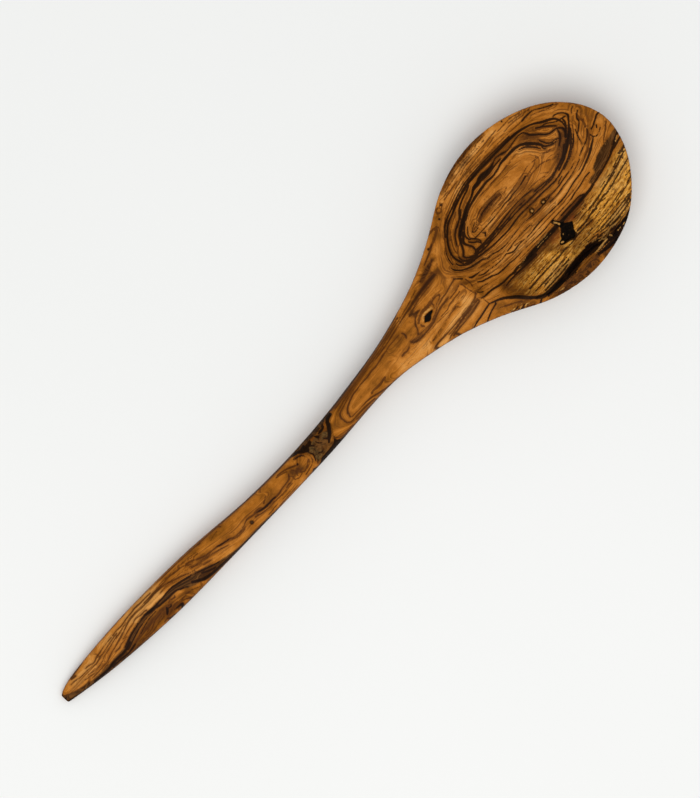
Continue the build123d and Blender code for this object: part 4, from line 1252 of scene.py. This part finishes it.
class Nodes:
    """A short way to write a node tree."""

    def __init__(self, tree):
        self.tree = tree

    def plug(self, value, socket):
        if isinstance(value, bpy.types.NodeSocket):
            self.tree.links.new(value, socket)
        elif value is not None:
            socket.default_value = value

    def make(self, kind):
        return self.tree.nodes.new("ShaderNode" + kind)

    def attribute(self, name):
        node = self.make("Attribute")
        node.attribute_name = name
        return node.outputs["Fac"]

    def math(self, operation, a, b, clamp=False):
        node = self.make("Math")
        node.operation = operation
        node.use_clamp = clamp
        self.plug(a, node.inputs[0])
        self.plug(b, node.inputs[1])
        return node.outputs[0]

    def plus(self, a, b):
        return self.math("ADD", a, b)

    def minus(self, a, b):
        return self.math("SUBTRACT", a, b)

    def times(self, a, b):
        return self.math("MULTIPLY", a, b)

    def swing(self, value, size):
        """A noise moved to both sides of zero and scaled."""
        return self.times(self.minus(value, 0.5), size)

    def combine(self, x, y, z=None):
        node = self.make("CombineXYZ")
        for socket, value in zip(node.inputs, (x, y, z)):
            self.plug(value, socket)
        return node.outputs[0]

    def step(self, value, low, high):
        """A smooth step from 0 at low to 1 at high."""
        node = self.make("MapRange")
        node.interpolation_type = "SMOOTHSTEP"
        self.plug(value, node.inputs["Value"])
        self.plug(low, node.inputs["From Min"])
        self.plug(high, node.inputs["From Max"])
        return node.outputs["Result"]

    def mix(self, share, a, b):
        node = self.make("Mix")
        node.data_type = "RGBA"
        self.plug(share, node.inputs["Factor"])
        self.plug(a, node.inputs["A"])
        self.plug(b, node.inputs["B"])
        return node.outputs["Result"]

    def lay(self, under, share, strength, tint):
        """Lays a tint over a colour, where the share says and as strong as given."""
        return self.mix(self.times(share, strength), under, tint)

    def noise(self, place, scale, detail=3.0, rough=0.5, stretch=None):
        if stretch is not None:
            mapping = self.make("Mapping")
            self.plug(place, mapping.inputs["Vector"])
            mapping.inputs["Scale"].default_value = stretch
            place = mapping.outputs["Vector"]
        node = self.make("TexNoise")
        self.plug(place, node.inputs["Vector"])
        node.inputs["Scale"].default_value = scale
        node.inputs["Detail"].default_value = detail
        node.inputs["Roughness"].default_value = rough
        return node.outputs["Fac"]


# %% The figure group and the maps that it reads
GROUP_SOCKETS = {
    "Color": "NodeSocketColor",
    "Roughness": "NodeSocketFloat",
    "Height": "NodeSocketFloat",
}
figure_group = bpy.data.node_groups.new("olive_figure", "ShaderNodeTree")
for label, kind in GROUP_SOCKETS.items():
    figure_group.interface.new_socket(label, in_out="OUTPUT", socket_type=kind)
n = Nodes(figure_group)

in_mm = n.make("VectorMath")
in_mm.operation = "SCALE"
n.plug(n.make("TexCoord").outputs["Object"], in_mm.inputs[0])
in_mm.inputs["Scale"].default_value = 1 / MM
place = in_mm.outputs[0]
split = n.make("SeparateXYZ")
n.plug(place, split.inputs[0])
along = split.outputs["X"]
across_depth = split.outputs["Z"]

dark, warm, soft, torn, pale = map(n.attribute, ("dark", "warm", "soft", "torn", "pale"))
bark, stain, olive, brown = map(n.attribute, ("bark", "stain", "olive", "brown"))
sapwood, red, ring, broad = map(n.attribute, ("sapwood", "red", "ring", "tone"))
band, drive, painted_side_shade = map(n.attribute, ("band", "drive", "painted_side_shade"))

# %% Noises: along the grain, beside the dark lines and in the open
wobble = n.noise(place, 0.32, rough=0.6)
sway = n.plus(0.6, n.step(along, 15.0, 60.0))
grain = n.combine(
    n.plus(ring, n.swing(wobble, sway)), n.times(along, 0.03), n.times(across_depth, 0.05)
)
fibres = n.noise(grain, 4.5, detail=4.0, rough=0.7)
splits = n.noise(grain, 2.3, detail=2.0, rough=0.6)
thin_rings = n.noise(grain, 1.35, rough=0.6)
bands = n.noise(grain, 0.55, detail=2.0)
beside = n.combine(n.plus(dark, n.times(wobble, 0.5)), n.times(along, 0.03), n.times(ring, 0.12))
echoes = n.noise(beside, 1.7, detail=2.0)
patchy = n.noise(place, 0.13, rough=0.6)
ragged = n.noise(place, 1.3, detail=4.0, rough=0.65)
mottle = n.noise(place, 0.55, detail=4.0, rough=0.7)
streaks = n.noise(place, 1.0, detail=4.0, rough=0.7, stretch=(0.06, 2.0, 1.0))
speckle = n.noise(place, 1.1, rough=0.7, stretch=(0.5, 1.2, 1.0))
pores = n.noise(place, 2.4, detail=2.0, stretch=(0.25, 2.2, 1.0))
edge = n.swing(ragged, 0.6)
frayed = n.plus(edge, n.swing(splits, 1.0))

# %% Ground colour, from the darkest wood to the palest
GROUND_ENDS = (linear(78, 42, 10), linear(214, 150, 76))
GROUND_STOPS = {
    0.28: linear(124, 73, 14),
    0.52: linear(168, 101, 29),
    0.75: linear(196, 126, 50),
}
light_share = n.plus(n.times(bands, 0.8), n.times(patchy, 0.7))
light_share = n.plus(light_share, n.times(broad, 0.7))
light_share = n.plus(light_share, n.times(fibres, 0.8))
light_share = n.minus(light_share, 0.59)
ground = n.make("ValToRGB")
n.plug(light_share, ground.inputs["Fac"])
stops = ground.color_ramp.elements
for end, tint in zip(stops, GROUND_ENDS):
    end.color = tint
for position, tint in GROUND_STOPS.items():
    stops.new(position).color = tint
colour = ground.outputs["Color"]

# %% Thin growth rings, and their echoes beside the dark lines
combed = n.combine(n.plus(band, n.times(wobble, 1.2)), n.times(along, 0.07))
long_streaks = n.noise(combed, 1.1, detail=4.0, rough=0.7)
fade_in = n.plus(along, n.swing(long_streaks, 50.0))
sap_share = n.step(n.plus(sapwood, n.times(frayed, 3.0)), -1.1, 1.4)
sap_share = n.times(sap_share, n.step(fade_in, 89.0, 108.0))
heartwood = n.minus(1.0, sap_share)

calm_share = n.times(n.step(streaks, 0.52, 0.66), n.minus(1.0, drive))
colour = n.lay(colour, calm_share, 0.28, linear(110, 62, 18))
ring_share = n.times(n.times(n.step(thin_rings, 0.53, 0.58), heartwood), drive)
colour = n.lay(colour, ring_share, 0.62, linear(82, 43, 11))
echo_share = n.times(n.step(echoes, 0.52, 0.58), n.step(dark, -2.9, -1.6))
echo_share = n.times(n.times(echo_share, heartwood), n.step(ring, 24.0, 19.0))
colour = n.lay(colour, echo_share, 0.62, linear(76, 40, 10))

# %% Torn golden sapwood
short_streaks = n.noise(n.combine(band, n.times(along, 0.22)), 1.7, rough=0.6)
gold = n.mix(n.step(long_streaks, 0.4, 0.56), linear(144, 87, 20), linear(224, 156, 57))
gold = n.lay(gold, n.step(speckle, 0.5, 0.66), 0.4, linear(104, 58, 12))
gold = n.lay(gold, n.step(short_streaks, 0.55, 0.6), 0.78, linear(66, 33, 8))
gold = n.lay(gold, n.step(short_streaks, 0.46, 0.38), 0.6, linear(242, 192, 106))
gold = n.lay(gold, n.step(band, -20.0, -14.8), 0.62, linear(96, 50, 12))
gold = n.lay(gold, n.step(broad, 0.0, -1.0), 0.75, linear(92, 50, 12))
gold = n.lay(gold, n.step(broad, 0.0, 1.0), 0.5, linear(236, 186, 104))
colour = n.lay(colour, sap_share, 0.9, gold)

# %% Soft and warm rings
soft_share = n.step(n.plus(soft, frayed), -0.22, 0.04)
colour = n.lay(colour, soft_share, 0.8, linear(72, 36, 9))
warm_share = n.step(n.plus(warm, n.times(frayed, 0.7)), -0.22, 0.06)
warm_colour = n.mix(n.step(warm, 0.0, 0.35), linear(78, 40, 11), linear(40, 19, 6))
colour = n.lay(colour, n.step(warm, -1.2, 0.0), 0.4, linear(108, 60, 15))
colour = n.lay(colour, warm_share, 0.82, warm_colour)

# %% Red, olive, brown and stained patches
red_share = n.step(n.plus(red, n.times(edge, 2.0)), -0.7, 0.8)
colour = n.lay(colour, red_share, 0.6, linear(120, 58, 18))
olive_share = n.step(n.plus(olive, n.times(edge, 2.0)), -0.6, 0.6)
olive_colour = n.mix(n.step(mottle, 0.36, 0.62), linear(38, 28, 13), linear(112, 88, 50))
olive_colour = n.lay(olive_colour, n.step(patchy, 0.5, 0.6), 0.5, linear(126, 74, 28))
olive_colour = n.lay(olive_colour, n.step(ragged, 0.54, 0.62), 0.7, linear(30, 19, 9))
colour = n.lay(colour, olive_share, 0.85, olive_colour)
brown_share = n.step(n.plus(brown, n.times(frayed, 3.0)), -1.4, 1.2)
brown_colour = n.mix(n.step(fibres, 0.4, 0.6), linear(44, 22, 6), linear(96, 54, 16))
colour = n.lay(colour, brown_share, 0.85, brown_colour)
stain_share = n.step(n.plus(stain, n.times(frayed, 1.6)), -0.4, 0.4)
stain_colour = n.mix(n.step(splits, 0.47, 0.57), linear(22, 13, 6), linear(92, 60, 28))
stain_colour = n.lay(stain_colour, n.step(fibres, 0.44, 0.66), 0.4, linear(84, 50, 20))
colour = n.lay(colour, stain_share, 0.92, stain_colour)

# %% Dark lines with a brown halo, torn dashes and bark
colour = n.lay(colour, n.step(dark, -0.8, 0.1), 0.36, linear(96, 52, 12))
line_share = n.step(n.plus(dark, n.times(frayed, 0.6)), -0.16, 0.03)
line_colour = n.mix(n.step(dark, 0.1, 0.5), linear(36, 17, 5), linear(12, 6, 3))
line_colour = n.lay(line_colour, n.step(fibres, 0.52, 0.64), 0.14, linear(70, 38, 12))
colour = n.lay(colour, line_share, 0.95, line_colour)
torn_share = n.step(n.plus(torn, n.times(edge, 1.6)), -0.16, 0.04)
colour = n.lay(colour, torn_share, 0.92, linear(38, 17, 6))
bark_share = n.step(n.plus(bark, n.times(frayed, 2.6)), -0.3, 0.25)
bark_colour = n.mix(n.step(streaks, 0.5, 0.7), linear(7, 3, 2), linear(66, 35, 13))
colour = n.lay(colour, bark_share, 0.96, bark_colour)

# %% Pale dashes, pores and painted shade on the steep sides
pale_share = n.step(n.plus(pale, n.times(frayed, 1.3)), -0.15, 0.2)
colour = n.lay(colour, pale_share, 0.8, linear(202, 148, 76))
pore_share = n.times(n.step(pores, 0.6, 0.7), 0.3)
colour = n.mix(pore_share, colour, linear(70, 36, 9))
# Painted shade: the steep sides are darkened toward dark brown, as if they lay in shade.
colour = n.lay(colour, painted_side_shade, 0.75, linear(44, 26, 9))

# %% Roughness and height, and the group's outputs
roughness = n.plus(n.times(fibres, 0.12), 0.4)
roughness = n.plus(roughness, n.times(bark_share, 0.2))
height = n.minus(n.times(fibres, 0.3), n.times(line_share, 0.3))
height = n.minus(height, n.times(pore_share, 1.2))
height = n.plus(height, n.times(n.times(streaks, sap_share), 1.5))
output = figure_group.nodes.new("NodeGroupOutput")
for label, value in zip(GROUP_SOCKETS, (colour, roughness, height)):
    n.plug(value, output.inputs[label])
print("figure group", len(figure_group.nodes), "nodes")

# %% Oiled wood, dead knots, pin knots and bark
BUMP_DEPTH = 0.12
TINT_NOISE = 900.0


def wood_material(name, tint, tint_share, specular, bump, in_outline=False):
    """A material of the figure group, with a tint pulled over it by a fine noise.

    With in_outline the tint stays inside the black outline that was drawn for a knot.
    """
    material = bpy.data.materials.new(name)
    material.use_nodes = True
    nodes = Nodes(material.node_tree)
    shader = material.node_tree.nodes["Principled BSDF"]
    group = nodes.make("Group")
    group.node_tree = figure_group
    place = nodes.make("TexCoord").outputs["Object"]
    share = nodes.math("MULTIPLY", nodes.noise(place, TINT_NOISE), tint_share, clamp=True)
    if in_outline:
        share = nodes.times(share, nodes.step(nodes.attribute("dark"), -0.25, 0.15))
        share = nodes.times(share, nodes.step(nodes.attribute("pale"), 0.1, -0.25))
    nodes.plug(nodes.mix(share, group.outputs["Color"], tint), shader.inputs["Base Color"])
    nodes.plug(group.outputs["Roughness"], shader.inputs["Roughness"])
    relief = nodes.make("Bump")
    relief.inputs["Strength"].default_value = bump
    relief.inputs["Distance"].default_value = BUMP_DEPTH * MM
    nodes.plug(group.outputs["Height"], relief.inputs["Height"])
    nodes.plug(relief.outputs["Normal"], shader.inputs["Normal"])
    shader.inputs["Specular IOR Level"].default_value = specular
    return material


olive_wood = wood_material("oiled_olive_wood", linear(150, 96, 30), 0.0, 0.04, 0.5)
dead_knot = wood_material("dead_knot_wood", linear(8, 5, 3), 1.9, 0.03, 0.9, in_outline=True)
pin_knot = wood_material("pin_knot_wood", linear(120, 78, 30), 0.15, 0.06, 0.8)
bark_wood = wood_material("ingrown_bark", linear(12, 6, 3), 0.7, 0.03, 1.0)

# %% Each piece gets its material
SLOT_MATERIALS = {
    "bowl_dead_knot": ("dead_knot", dead_knot),
    "neck_dead_knot": ("dead_knot", dead_knot),
    "bowl_pin_knots": ("pin_knot", pin_knot),
    "handle_pin_knot": ("pin_knot", pin_knot),
    "handle_bark_pocket": ("bark", bark_wood),
    "bowl_bark_seam": ("bark", bark_wood),
}


def dress(piece, material, slot, *nodes):
    only(piece)
    bpy.ops.object.shade_smooth()
    piece.data.materials.clear()
    piece.data.materials.append(material)
    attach(piece, "root")
    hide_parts(*nodes)


dress(spoon, olive_wood, "olive_wood", "spoon_body")
for name, plug in ingrown_pieces.items():
    slot, material = SLOT_MATERIALS[name]
    dress(plug, material, slot, name)

# %% Pale paper of the floor
paper = bpy.data.materials.new("pale_paper")
paper.use_nodes = True
p = Nodes(paper.node_tree)
paper_shader = paper.node_tree.nodes["Principled BSDF"]
fine = p.noise(p.make("TexCoord").outputs["Object"], 3.0, detail=2.0)
p.plug(p.mix(fine, linear(238, 239, 237), linear(243, 243, 242)), paper_shader.inputs["Base Color"])
paper_shader.inputs["Roughness"].default_value = 0.9
paper_shader.inputs["Specular IOR Level"].default_value = 0.1
floor.data.materials.append(paper)
